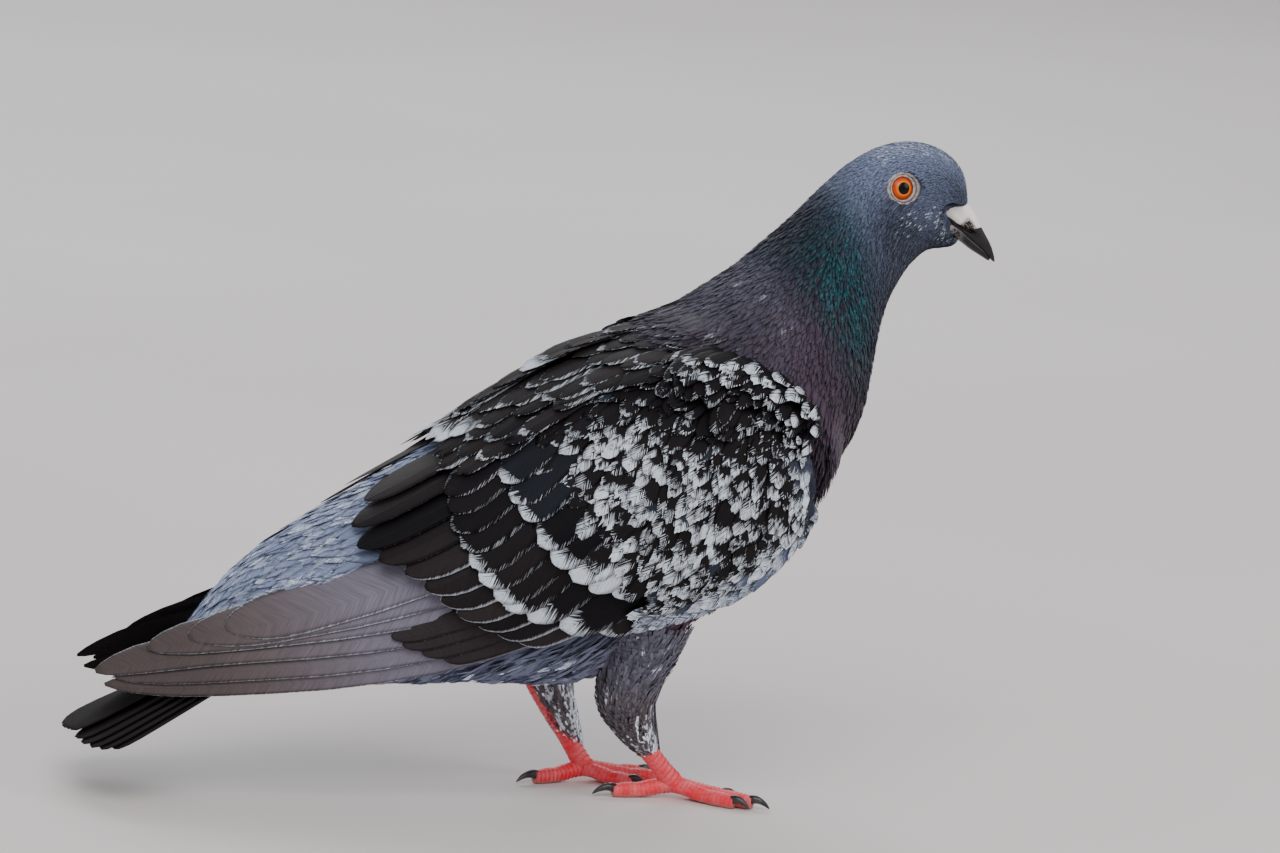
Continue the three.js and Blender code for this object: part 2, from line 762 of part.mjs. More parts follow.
function shank(hock, foot, grow) {
  const top = new THREE.Vector3(...hock);
  const low = new THREE.Vector3(foot[0], foot[1], FOOT_HIGH);
  const at = (t) => top.clone().lerp(low, t).toArray();
  return tube([at(0.02), at(0.3), at(0.6), at(0.85), at(1)], [3.6, 3.5, 2.9, 2.8, 3.3], {
    around: 12,
    grow,
    steps: 6,
  });
}

function toePath(foot, bearing, length, radius) {
  const angle = THREE.MathUtils.degToRad(bearing);
  const at = (d, z) => [foot[0] + d * Math.cos(angle), foot[1] + d * Math.sin(angle), z];
  return {
    centres: [at(0, 4.1), at(0.3 * length, 2.9), at(0.6 * length, radius - 0.25), at(length, radius - 0.35)],
    radii: [radius + 0.7, radius + 0.25, radius + 0.05, radius - 0.15],
    at,
  };
}

const AIR = 60;
const aboveFloor = (solid) => solid.trimByPlane([0, 0, 1], 0).trimByPlane([0, 0, -1], -AIR);

function foot(name, grow = 0) {
  const leg = LEGS[name];
  const pieces = TOES.map((toe, i) => {
    const { bearing, length } = leg.toes[i];
    const { centres, radii } = toePath(leg.foot, bearing, length, toe.radius);
    return tube(centres, radii, { around: 7, grow, steps: 5, flat: 0.95 });
  });
  const ball = geometrySolid(new THREE.SphereGeometry(1, 10, 6))
    .scale([4.2 + grow, 4.2 + grow, 3.6 + grow])
    .translate([leg.foot[0], leg.foot[1], 3.2]);
  return aboveFloor(largest(union([...pieces, ball])));
}

function claw(name, i, grow = 0) {
  const leg = LEGS[name];
  const toe = TOES[i];
  const { bearing, length } = leg.toes[i];
  const { at } = toePath(leg.foot, bearing, length, toe.radius);
  const start = length - 0.6;
  const centres = [
    at(start, 2.7),
    at(start + toe.claw * 0.4, 3.3),
    at(start + toe.claw * 0.75, 2.4),
    at(start + toe.claw, 0.9),
  ];
  return aboveFloor(tube(centres, [1.45, 1.2, 0.8, 0.25], { around: 7, grow, steps: 5 }));
}

// ---- Assembly ----
const pigeon = new THREE.Group();

function add(name, solid, material) {
  const mesh = largest(solid).getMesh();
  const stride = mesh.numProp;
  const position = new Float32Array(mesh.numVert * 3);
  for (let i = 0; i < mesh.numVert; i++) {
    position.set(mesh.vertProperties.subarray(i * stride, i * stride + 3), i * 3);
  }
  const geometry = new THREE.BufferGeometry();
  geometry.setAttribute("position", new THREE.BufferAttribute(position, 3));
  geometry.setIndex(new THREE.BufferAttribute(new Uint32Array(mesh.triVerts), 1));
  geometry.computeVertexNormals();
  const node = new THREE.Mesh(geometry, new THREE.MeshStandardMaterial(MATERIALS[material]));
  node.name = name;
  pigeon.add(node);
}

const trunk = bodyLoft.subtract(wingCut).subtract(tailHollow());
add("torso", between(trunk, PART_AT.rump, PART_AT.neck), "feather_dark");
add("rump", between(trunk, null, PART_AT.rump), "feather_rump");
add("neck", between(trunk, PART_AT.neck, PART_AT.head), "feather_neck");

const eyes = Object.values(SIDES).map((side) => atEye(side, eyeSocket()));
const headCuts = [upperBill(GAP), lowerBill(0.6), cereSolid(GAP), loreCuts(), slits(GAPE), ...eyes];
add("head", between(headLoft, PART_AT.head, null).subtract(union(headCuts)), "feather_head");
add("upper_bill", upperBill(0).subtract(cereSolid(GAP)).subtract(slits(NOSTRIL)), "bill");
add("lower_bill", lowerBill(0).subtract(upperBill(GAP)).subtract(cereSolid(GAP)), "bill");
add("cere", cereSolid(0).subtract(slits(NOSTRIL)), "cere");

add("tail", tail(), "feather_flight");

for (const [name, side] of Object.entries(SIDES)) {
  add("eye_" + name, atEye(side, eyeBall(EYE.ball)), "eye");
  add("eye_ring_" + name, atEye(side, eyeRing()), "eye_ring");
  add("wing_" + name, side < 0 ? mirrored(wing()) : wing(), "feather_flight");
  const leg = LEGS[name];
  const legThigh = thigh(leg, 0).subtract(bodyGrown);
  const thighGrown = thigh(leg, GAP);
  const footSolid = foot(name);
  const footGrown = foot(name, GAP);
  add("thigh_" + name, legThigh, "feather_leg");
  add("shank_" + name, shank(leg.hock, leg.foot, 0).subtract(thighGrown).subtract(footGrown), "skin_red");
  const claws = TOES.map((_, i) => claw(name, i, GAP));
  add("foot_" + name, footSolid.subtract(union(claws)), "skin_red");
  TOES.forEach((_, i) => add(`claw_${name}_${i + 1}`, claw(name, i), "claw"));
}

// The origin is the middle of the box on the floor.
const box = new THREE.Box3().setFromObject(pigeon);
const middle = box.getCenter(new THREE.Vector3());
pigeon.position.set(-middle.x, -middle.y, -box.min.z);
const placed = new THREE.Group();
placed.add(pigeon);

export default placed;
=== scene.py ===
import json
import math

import bpy
import numpy as np
from mathutils import Matrix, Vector
from mathutils.kdtree import KDTree

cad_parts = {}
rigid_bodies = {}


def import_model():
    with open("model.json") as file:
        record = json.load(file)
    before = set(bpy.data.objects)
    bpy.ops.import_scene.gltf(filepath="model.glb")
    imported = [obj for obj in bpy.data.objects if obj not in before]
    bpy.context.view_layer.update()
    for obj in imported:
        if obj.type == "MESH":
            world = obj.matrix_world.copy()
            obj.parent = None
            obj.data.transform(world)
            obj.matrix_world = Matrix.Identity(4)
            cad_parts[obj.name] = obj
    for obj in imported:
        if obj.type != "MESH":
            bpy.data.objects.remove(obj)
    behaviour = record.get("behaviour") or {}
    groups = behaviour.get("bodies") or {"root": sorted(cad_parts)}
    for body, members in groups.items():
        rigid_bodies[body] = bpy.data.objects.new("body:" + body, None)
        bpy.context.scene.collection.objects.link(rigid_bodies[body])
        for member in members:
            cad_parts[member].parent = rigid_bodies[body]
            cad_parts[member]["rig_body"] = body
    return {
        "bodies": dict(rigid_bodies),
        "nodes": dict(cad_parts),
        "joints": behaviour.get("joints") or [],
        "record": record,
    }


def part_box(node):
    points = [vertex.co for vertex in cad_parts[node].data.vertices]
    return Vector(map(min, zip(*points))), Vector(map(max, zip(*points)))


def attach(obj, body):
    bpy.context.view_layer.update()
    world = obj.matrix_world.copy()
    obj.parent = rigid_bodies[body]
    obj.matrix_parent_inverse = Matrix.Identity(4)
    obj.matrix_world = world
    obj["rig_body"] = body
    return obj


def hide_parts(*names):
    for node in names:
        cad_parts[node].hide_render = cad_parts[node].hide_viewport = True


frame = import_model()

bl_info = {
    "name": "Standing pigeon",
    "version": (1, 0, 0),
    "blender": (4, 5, 0),
    "location": "3D View > Sidebar > Pigeon",
    "description": "Skin, feathers, eyes, bill and legs of a life-size standing pigeon",
    "category": "Add Mesh",
}

# ---- Sizes, all in millimetres in the bird's own frame: X forward, Y to its left, Z up, floor at Z = 0 ----
MM = 0.001  # metres in a millimetre
FULL_TURN = 2 * math.pi
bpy.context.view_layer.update()  # the solids' box, in metres
BILL_TIP_X = 105.3
SHIFT_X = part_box("upper_bill")[1].x / MM - BILL_TIP_X  # from the bird's own frame to the solids'
SIDES = {"right": -1, "left": 1}  # the sign of Y

# Body rails, tail base to bill base: dorsal x, z, ventral x, z, half width.
BODY = [
    (-134, 43, -131, 37, 7),
    (-121, 61, -114, 38.5, 13),
    (-104, 75, -94, 40, 19),
    (-82, 88.3, -69, 41, 25),
    (-57, 103.5, -42, 41.5, 32),
    (-36, 116.5, -18, 41, 37),
    (-14, 129, 5, 44, 40),
    (5, 139.5, 22.5, 55, 41),
    (18, 148, 37, 71.5, 39.5),
    (28, 155, 49.5, 87.5, 35),
    (36, 162.5, 59.5, 99.5, 29),
    (42, 168.5, 65.3, 111.5, 24),
    (47, 174, 68, 127, 19.5),
    (52, 179.5, 70.8, 142, 16),
    (58.3, 185.5, 76.3, 153.5, 13),
    (67, 190.6, 81, 159, 11.4),
    (76.5, 192.5, 84.6, 161.6, 10.8),
    (86, 190.4, 88.3, 162.6, 8.8),
    (92.9, 184.4, 91.6, 163, 5.4),
    (95.3, 175, 93.6, 164, 3.2),
]

# Wing axis and its two surfaces: s, then h and y of the upper edge, the bulge control and the lower edge.
WING_START = (60, 105)
WING_PITCH = math.radians(22)
WING_BACK = (-math.cos(WING_PITCH), -math.sin(WING_PITCH))
WING_UP = (-math.sin(WING_PITCH), math.cos(WING_PITCH))
WING_COVERED = (14, 150)  # the part of the axis over which the folded wing hides the body
ARM = [
    (6, 8.5, 30.5, 6, 31.5, 3.5, 30.5),
    (12.5, 11, 30, 6, 35, 1, 31),
    (15, 20, 27, 12, 44, -4, 31.5),
    (20, 33, 20.5, 25, 51, -9, 33),
    (30, 43.5, 12.5, 34, 60, -16, 35),
    (46, 50.5, 6, 39, 66, -21.5, 37.5),
    (66, 52, 4, 38.5, 68, -22.5, 38.5),
    (86, 49.5, 4, 35.5, 66, -20, 39),
    (104, 46, 5, 31.5, 61, -17.5, 39),
    (122, 42, 7, 27.5, 54, -14.5, 38),
    (138, 38.5, 9, 24, 47, -11, 35),
    (158, 34, 11, 20.5, 38, -6, 32),
]
HAND = [
    (84, 26.5, 37, 10, 49, -18, 35.5),
    (100, 27, 33, 10, 46, -16.8, 35),
    (118, 27.5, 27, 10, 42, -14.5, 34.5),
    (140, 27, 19, 10, 37, -11, 32),
    (160, 27.5, 13.5, 10, 31, -6.5, 29.5),
    (180, 27, 10, 12, 24, -1, 25.5),
    (200, 27, 7.5, 15, 18, 5, 21),
    (216, 25.5, 6.8, 17, 14.5, 10, 16.5),
    (232, 21, 8, 18.5, 10.5, 15.5, 11.5),
]

# Tail: base and tip of the middle line of its upper face, x and z, and how its edges droop with the square of y.
TAIL_BASE = (-88, 58.5)
TAIL_TIP = (-165, 17.7)
TAIL_DROOP = 0.0035

# Bill rails, as the body's: upper x, z, lower x, z, half width.
UPPER_BILL = [
    (90.5, 176.5, 86.6, 171, 3.2),
    (95.3, 173.8, 91, 167.9, 3.5),
    (98.3, 170.5, 95, 165.1, 3),
    (101.1, 166.4, 99, 162.3, 2.4),
    (103.6, 162.4, 102.5, 159.6, 1.7),
    (105.3, 158.2, 105, 157.3, 0.6),
]
LOWER_BILL = [
    (88.4, 170.2, 89.3, 165.6, 3),
    (93.2, 167.4, 93.6, 163.6, 2.9),
    (97, 164.6, 97.2, 161.2, 2.4),
    (101, 161.4, 101.1, 159, 1.8),
    (103.6, 158.9, 103.4, 157.7, 0.9),
]

# Hollow beside the cere: the face stays inside this ellipsoid, pitched forward and down.
LORES = {"at": (92.3, 10.6, 170.8), "half": (8.4, 8, 3.7), "pitch": math.radians(28)}
# Below the forehead's edge, a line of x and z, the half width of the face grows backwards from the bill.
FOREHEAD_X, FOREHEAD_Z, FOREHEAD_SLOPE = 84.5, 172.1, 0.2
WEDGE_X, WEDGE_HALF = 90.5, 3.1
# Front edge of the feathers about the bill: x by height. It counts within a half width and below a height.
BILL_MARGIN = [
    (158, 97), (162.8, 96.5), (164, 93), (165.5, 89.6), (168, 87.6),
    (170, 86.4), (171.8, 87.1), (172.9, 90), (174.1, 95), (175.6, 99),
]
BILL_MARGIN_HALF = 7
BILL_MARGIN_TOP = 178
NOSTRIL = {"at": (94.8, 167.5), "half": (4, 0.62), "pitch": math.radians(25)}  # a slit in x and z

EYE_AT = (71.3, 5.9, 179.6)
EYE_UP = math.radians(8.5)
EYE_FORWARD = math.radians(7)
EYE_BALL = 4.75  # radius
LID_EDGE = 4.5  # feathers stop at this distance from the eye's axis

# Legs: rows of x, y, z and radius down the thigh, the hock, x and y over the toes' root, and each toe's bearing and
# length, hind toe first.
LEGS = {
    "right": {
        "coat": [
            (-1, -21.5, 56, 13.5),
            (-2.6, -21.5, 44.5, 10.4),
            (-4.9, -21, 36.6, 8.8),
            (-5.3, -20, 30.6, 8),
            (-2.4, -18, 24.2, 6),
            (1.2, -16.5, 18.9, 4.5),
            (4.4, -15.2, 14.8, 3),
        ],
        "hock": (-9.5, -19.5, 29.5),
        "foot": (13.2, -13),
        "toes": [(178, 17.5), (-22, 15.5), (-38, 24.5), (-47, 20.5)],
    },
    "left": {
        "coat": [
            (-15, 18.5, 54, 13),
            (-18, 17.5, 44, 10),
            (-18.5, 16.5, 36, 8.2),
            (-17.5, 15.5, 29.5, 6.8),
            (-15.6, 14, 23.5, 5.4),
            (-13, 12.2, 17.2, 4.2),
            (-10.6, 10.8, 12, 3),
        ],
        "hock": (-23, 15.5, 31),
        "foot": (-7.5, 8.5),
        "toes": [(194, 16), (-38, 15.5), (-12, 23), (10, 19)],
    },
}
TOES = [(2.15, 7), (2, 5.5), (2.25, 6.5), (2.1, 6)]  # radius and claw length
FOOT_HIGH = 4.6  # height of the toes' root
FLOOR_GAP = 0.02  # soles stay this far above the floor

# Long feathers, front row last: tips as (s, v) on the wing surfaces.
PRIMARY_TIPS = [
    (229.5, 0.98), (226, 0.74), (230.5, 0.46), (214.5, 0.35), (202.5, 0.36), (192, 0.36),
]
PRIMARY_ROOT = 104.0
SECONDARY_TIPS = [
    (117.8, 0.93), (122.5, 0.89), (127.5, 0.83), (131.5, 0.77), (134.5, 0.69), (137.5, 0.6), (141, 0.49),
    (146, 0.37), (149.5, 0.24), (148, 0.11), (141, 0.02),
]
GREATER_LINE = [
    (84.7, 0.98), (100.5, 0.95), (114.8, 0.84), (120, 0.75),
    (123, 0.64), (123.8, 0.5), (123.4, 0.36), (121, 0.24),
]
MEDIAN_LINE = [
    (78, 0.92), (91.1, 0.85), (97.8, 0.78), (102.4, 0.67),
    (105, 0.52), (105.7, 0.39), (105.7, 0.25), (103.9, 0.13),
]
# Tail feathers of one side from the middle out: y of the tip, and length.
TAIL_FAN = [(2.6, 87.5), (7.6, 87.5), (12.2, 87), (16.2, 85.8), (19.6, 84), (22.2, 81)]


# ---- Curves and surfaces, worked out for whole arrays at once ----
def spline(rows):
    """Catmull-Rom curve through rows of numbers, at t from 0 to the last row; past either end it runs on straight."""
    rows = np.asarray(rows, float)
    last = len(rows) - 1

    def inside(t):
        k = np.clip(np.floor(t).astype(int), 0, last - 1)
        u = (t - k)[..., None]
        a, b, c, d = (rows[np.clip(k + i, 0, last)] for i in (-1, 0, 1, 2))
        return b + 0.5 * u * (c - a + u * (2 * a - 5 * b + 4 * c - d + u * (3 * (b - c) + d - a)))

    step = 0.01
    first_slope = (inside(np.array(step)) - rows[0]) / step
    last_slope = (rows[-1] - inside(np.array(last - step))) / step

    def at(t):
        t = np.asarray(t, float)
        held = np.clip(t, 0, last)
        over = (t - held)[..., None]
        return inside(held) + np.where(over < 0, over * first_slope, over * last_slope)

    return at


def smooth(x, low, high):
    """0 below low, 1 above high, and a smooth step between them."""
    u = np.clip((np.asarray(x, float) - low) / (high - low), 0, 1)
    return u * u * (3 - 2 * u)


def bump(x, middle, half):
    """1 at the middle and smoothly down to 0 at half away from it."""
    return 1 - smooth(np.abs(np.asarray(x, float) - middle), 0, half)


def dot(a, b):
    """Sum of the products of two arrays of arrows along their last axis."""
    return (a * b).sum(-1)


def unit(a):
    """Arrows drawn out or in to length 1."""
    return a / np.maximum(np.linalg.norm(a, axis=-1, keepdims=True), 1e-9)


def around(count):
    """Angles of so many points, evenly spaced round a circle."""
    return np.arange(count) * FULL_TURN / count


def oval_parts(dx, dz, pitch, hx, hz):
    """Squares of how far dx, dz reach along and across a pitched oval, against its two half sizes."""
    c, s = math.cos(pitch), math.sin(pitch)
    return ((dx * c - dz * s) / hx) ** 2, ((dx * s + dz * c) / hz) ** 2


class Surface:
    """A form as points of two parameters u and v. Feathers on it lie along u, forward or backward by `ahead`."""

    def __init__(self, flat, ahead, steps):
        self.flat = flat
        self.ahead = ahead
        self.steps = steps

    def slopes(self, u, v):
        """Millimetres that the point moves for one unit of u and of v, by small steps to either side."""
        eu, ev = self.steps
        du = (self.flat(u + eu, v) - self.flat(u - eu, v)) / (2 * eu)
        dv = (self.flat(u, v + ev) - self.flat(u, v - ev)) / (2 * ev)
        return du, dv

    def place(self, u, v, lift):
        """The point of u and v moved out along the surface's normal by lift."""
        du, dv = self.slopes(u, v)
        return self.flat(u, v) + unit(np.cross(du, dv)) * (-self.ahead * np.asarray(lift))[..., None]

    def breadth(self, u, v):
        """Millimetres that one unit of v spans at u, v."""
        ev = self.steps[1]
        return np.linalg.norm(self.flat(u, v + ev) - self.flat(u, v - ev), axis=-1) / (2 * ev)


def rail_section(rows, mouth_side=0):
    """Points of a rail loft: an oval about the middle of the upper and lower rails, by station and angle from the top.
    Half a bill, with its mouth below (-1) or above (1), is filled out by a power of the sine, most towards the mouth."""
    at = spline(rows)

    def flat(t, angle):
        t, angle = np.broadcast_arrays(np.asarray(t, float), np.asarray(angle, float))
        tx, tz, lx, lz, wide = np.moveaxis(at(t), -1, 0)
        rise = np.cos(angle) / 2
        across = np.sin(angle)
        if mouth_side:
            fullness = np.where(np.cos(angle) * mouth_side > 0, 0.42, 0.85)
            across = np.sign(across) * np.abs(across) ** fullness
        x = (tx + lx) / 2 + rise * (tx - lx)
        z = (tz + lz) / 2 + rise * (tz - lz)
        return np.stack([x, across * wide, z], -1)

    return flat


body_oval = rail_section(BODY)


def soft_least(a, b, width):
    """The lesser of two numbers, rounded off where they come within a width of each other."""
    near = np.maximum(width - np.abs(a - b), 0) / width
    return np.minimum(a, b) - near**2 * width / 4


def body_flat(t, angle):
    """The body's oval sections. The face is pressed in beside the cere to the inside of an ellipsoid, and below the
    forehead it narrows forward to the bill as a wedge."""
    p = body_oval(t, angle)
    ax, ay, az = LORES["at"]
    hx, hy, hz = LORES["half"]
    along, across = oval_parts(p[..., 0] - ax, p[..., 2] - az, LORES["pitch"], hx, hz)
    room = 1 - along - across
    no_limit = 99
    limit = np.where(room > 0, ay - hy * np.sqrt(np.maximum(room, 0)), no_limit)
    margin = FOREHEAD_Z + FOREHEAD_SLOPE * (p[..., 0] - FOREHEAD_X)
    wedge = WEDGE_HALF + 0.85 * np.maximum(WEDGE_X - p[..., 0], 0) ** 1.1 + 2.2 * np.maximum(p[..., 2] - margin, 0)
    p[..., 1] = np.sign(p[..., 1]) * soft_least(soft_least(np.abs(p[..., 1]), wedge, 1.5), limit, 2.2)
    return p


def wing_flat(rows):
    """Points of a wing surface: along its axis by s, then a quadratic Bezier of the three rails by v."""
    at = spline(rows)
    fine = np.linspace(0, len(rows) - 1, 1500)
    reach = at(fine)[:, 0]

    def flat(s, v):
        s, v = np.broadcast_arrays(np.asarray(s, float), np.asarray(v, float))
        t = np.interp(s, reach, fine) + (s - np.clip(s, reach[0], reach[-1])) * 0.05
        _, th, ty, mh, my, lh, ly = np.moveaxis(at(t), -1, 0)
        a, b, c = (1 - v) ** 2, 2 * v * (1 - v), v**2
        h = a * th + b * mh + c * lh
        y = a * ty + b * my + c * ly
        x = WING_START[0] + s * WING_BACK[0] + h * WING_UP[0]
        z = WING_START[1] + s * WING_BACK[1] + h * WING_UP[1]
        return np.stack([x, y, z], -1)

    return flat


TAIL_RUN = np.array([TAIL_TIP[0] - TAIL_BASE[0], 0, TAIL_TIP[1] - TAIL_BASE[1]], float)
TAIL_RUN /= np.linalg.norm(TAIL_RUN)
TAIL_UP = np.array([TAIL_RUN[2], 0, -TAIL_RUN[0]])


def tail_flat(d, y):
    """A plane down the tail by distance and y, with both edges drooping by the square of y."""
    d, y = np.broadcast_arrays(np.asarray(d, float), np.asarray(y, float))
    base = np.array([TAIL_BASE[0], 0, TAIL_BASE[1]])
    droop = TAIL_DROOP * y**2
    return base + d[..., None] * TAIL_RUN + y[..., None] * np.array([0, 1, 0]) - droop[..., None] * TAIL_UP


def tube_flat(rows):
    """A tube through centres x, y, z with radius r, by station t and angle; its rings stay square to the path."""
    at = spline(rows)

    def flat(t, angle):
        t, angle = np.broadcast_arrays(np.asarray(t, float), np.asarray(angle, float))
        c = at(t)
        along = unit(at(t + 0.02)[..., :3] - at(t - 0.02)[..., :3])
        side = unit(np.cross(along, np.array([1.0, 0.02, 0.03])))
        up = np.cross(side, along)
        r = np.maximum(c[..., 3], 0.05)[..., None]
        return c[..., :3] + r * (np.cos(angle)[..., None] * side + np.sin(angle)[..., None] * up)

    return flat


TUBE_STEPS = (0.02, 0.02)
body = Surface(body_flat, -1, TUBE_STEPS)
arm = Surface(wing_flat(ARM), 1, (0.5, 0.01))
hand = Surface(wing_flat(HAND), 1, (0.5, 0.01))
tail_top = Surface(tail_flat, 1, (0.5, 0.5))


# ---- Meshes ----
def make_piece(
    name, points, faces, smooth_faces=True, marks=None, uv=None, replaces=(), material=None
):
    """Puts points in millimetres and lists of equal-sided faces into one mesh object that stands in its own place."""
    mesh = bpy.data.meshes.new(name)
    points = np.asarray(points, float).reshape(-1, 3) * MM
    points[:, 0] += SHIFT_X * MM
    mesh.vertices.add(len(points))
    mesh.vertices.foreach_set("co", points.astype(np.float32).ravel())
    sides = np.concatenate([np.full(len(f), f.shape[1]) for f in faces])
    corners = np.concatenate([f.ravel() for f in faces])
    mesh.loops.add(len(corners))
    mesh.loops.foreach_set("vertex_index", corners.astype(np.int32))
    mesh.polygons.add(len(sides))
    starts = np.concatenate([[0], np.cumsum(sides)[:-1]])
    mesh.polygons.foreach_set("loop_start", starts.astype(np.int32))
    if smooth_faces is True:
        smooth_faces = np.ones(len(sides), bool)
    mesh.polygons.foreach_set("use_smooth", smooth_faces)
    mesh.update(calc_edges=True)
    for key, values in (marks or {}).items():
        layer = mesh.attributes.new(key, "FLOAT_VECTOR", "POINT")
        layer.data.foreach_set("vector", values.astype(np.float32).ravel())
    if uv is not None:
        layer = mesh.uv_layers.new(name="OFBake")
        layer.data.foreach_set("uv", uv[corners].astype(np.float32).ravel())
    obj = bpy.data.objects.new(name, mesh)
    bpy.context.scene.collection.objects.link(obj)
    if material:
        mesh.materials.append(material)
    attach(obj, "root")
    if replaces:
        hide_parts(*replaces)
    return obj


def grid_faces(rows, columns, wrap=False, start=0, flip=False):
    """Quads of a grid of rows by columns, joined round from the last column to the first where it wraps."""
    i = np.arange(rows - 1)[:, None]
    j = np.arange(columns if wrap else columns - 1)[None, :]
    k = (j + 1) % columns
    corners = [i * columns + j, i * columns + k, (i + 1) * columns + k, (i + 1) * columns + j]
    quads = np.stack(corners, -1).reshape(-1, 4)
    return start + (quads[:, ::-1] if flip else quads)


def closed_tube(points, start=0, flip=False):
    """Quads round a grid of rings, with one many-sided face at each end."""
    rows, columns = points.shape[:2]
    ring = np.arange(columns)
    ends = np.stack([ring[::-1], (rows - 1) * columns + ring])
    if flip:
        ends = ends[:, ::-1]
    return [grid_faces(rows, columns, True, start, flip), start + ends]


def closed_tubes(grids):
    """Points and faces of several closed tubes in one mesh: all their quads, then each one's two end faces."""
    firsts = np.cumsum([0] + [grid.size // 3 for grid in grids])
    sheets = [closed_tube(grid, first, True) for grid, first in zip(grids, firsts)]
    quads = np.concatenate([sheet[0] for sheet in sheets])
    return np.concatenate([grid.reshape(-1, 3) for grid in grids]), [quads, *(sheet[1] for sheet in sheets)]


def above_floor(points):
    """Points with those below the floor raised to just above it."""
    points[..., 2] = np.maximum(points[..., 2], FLOOR_GAP)
    return points


# ---- Feathers ----
OUTLINES = {
    # fraction of the length, fraction of the half width
    "round": ([0, 0.25, 0.5, 0.74, 0.9, 1], [0.4, 0.8, 1, 0.95, 0.62, 0.15]),
    "small": ([0, 0.35, 0.7, 1], [0.5, 1, 0.8, 0.12]),
    "wisp": ([0, 0.4, 0.75, 1], [0.6, 1, 0.6, 0.06]),
    "frayed": ([0, 0.3, 0.55, 0.75, 0.88, 0.96, 1], [0.45, 0.85, 1, 0.98, 0.86, 0.62, 0.42]),
    "pointed": ([0, 0.3, 0.6, 0.85, 1], [0.5, 1, 0.85, 0.45, 0.06]),
    "long": (
        [0, 0.08, 0.18, 0.3, 0.42, 0.54, 0.66, 0.76, 0.84, 0.9, 0.95, 0.98, 1],
        [0.3, 0.6, 0.8, 0.9, 0.95, 1, 1, 1, 0.95, 0.82, 0.6, 0.38, 0.12],
    ),
    "blunt": (
        [0, 0.1, 0.25, 0.4, 0.55, 0.7, 0.82, 0.9, 0.95, 0.985, 1],
        [0.35, 0.6, 0.8, 0.9, 0.97, 1, 1, 0.97, 0.88, 0.65, 0.3],
    ),
    "broad": (
        [0, 0.15, 0.35, 0.55, 0.72, 0.84, 0.92, 0.97, 1],
        [0.5, 0.8, 0.95, 1, 1, 0.88, 0.66, 0.42, 0.14],
    ),
}
FEATHER_MARKS = []  # points, pigments and tones of every coat, from which the skin takes its colours
MAP_EDGE, MAP_SPAN, MAP_PATCH = 0.01, 0.975, 0.003  # OFBake map: where roots fall, and each feather's patch


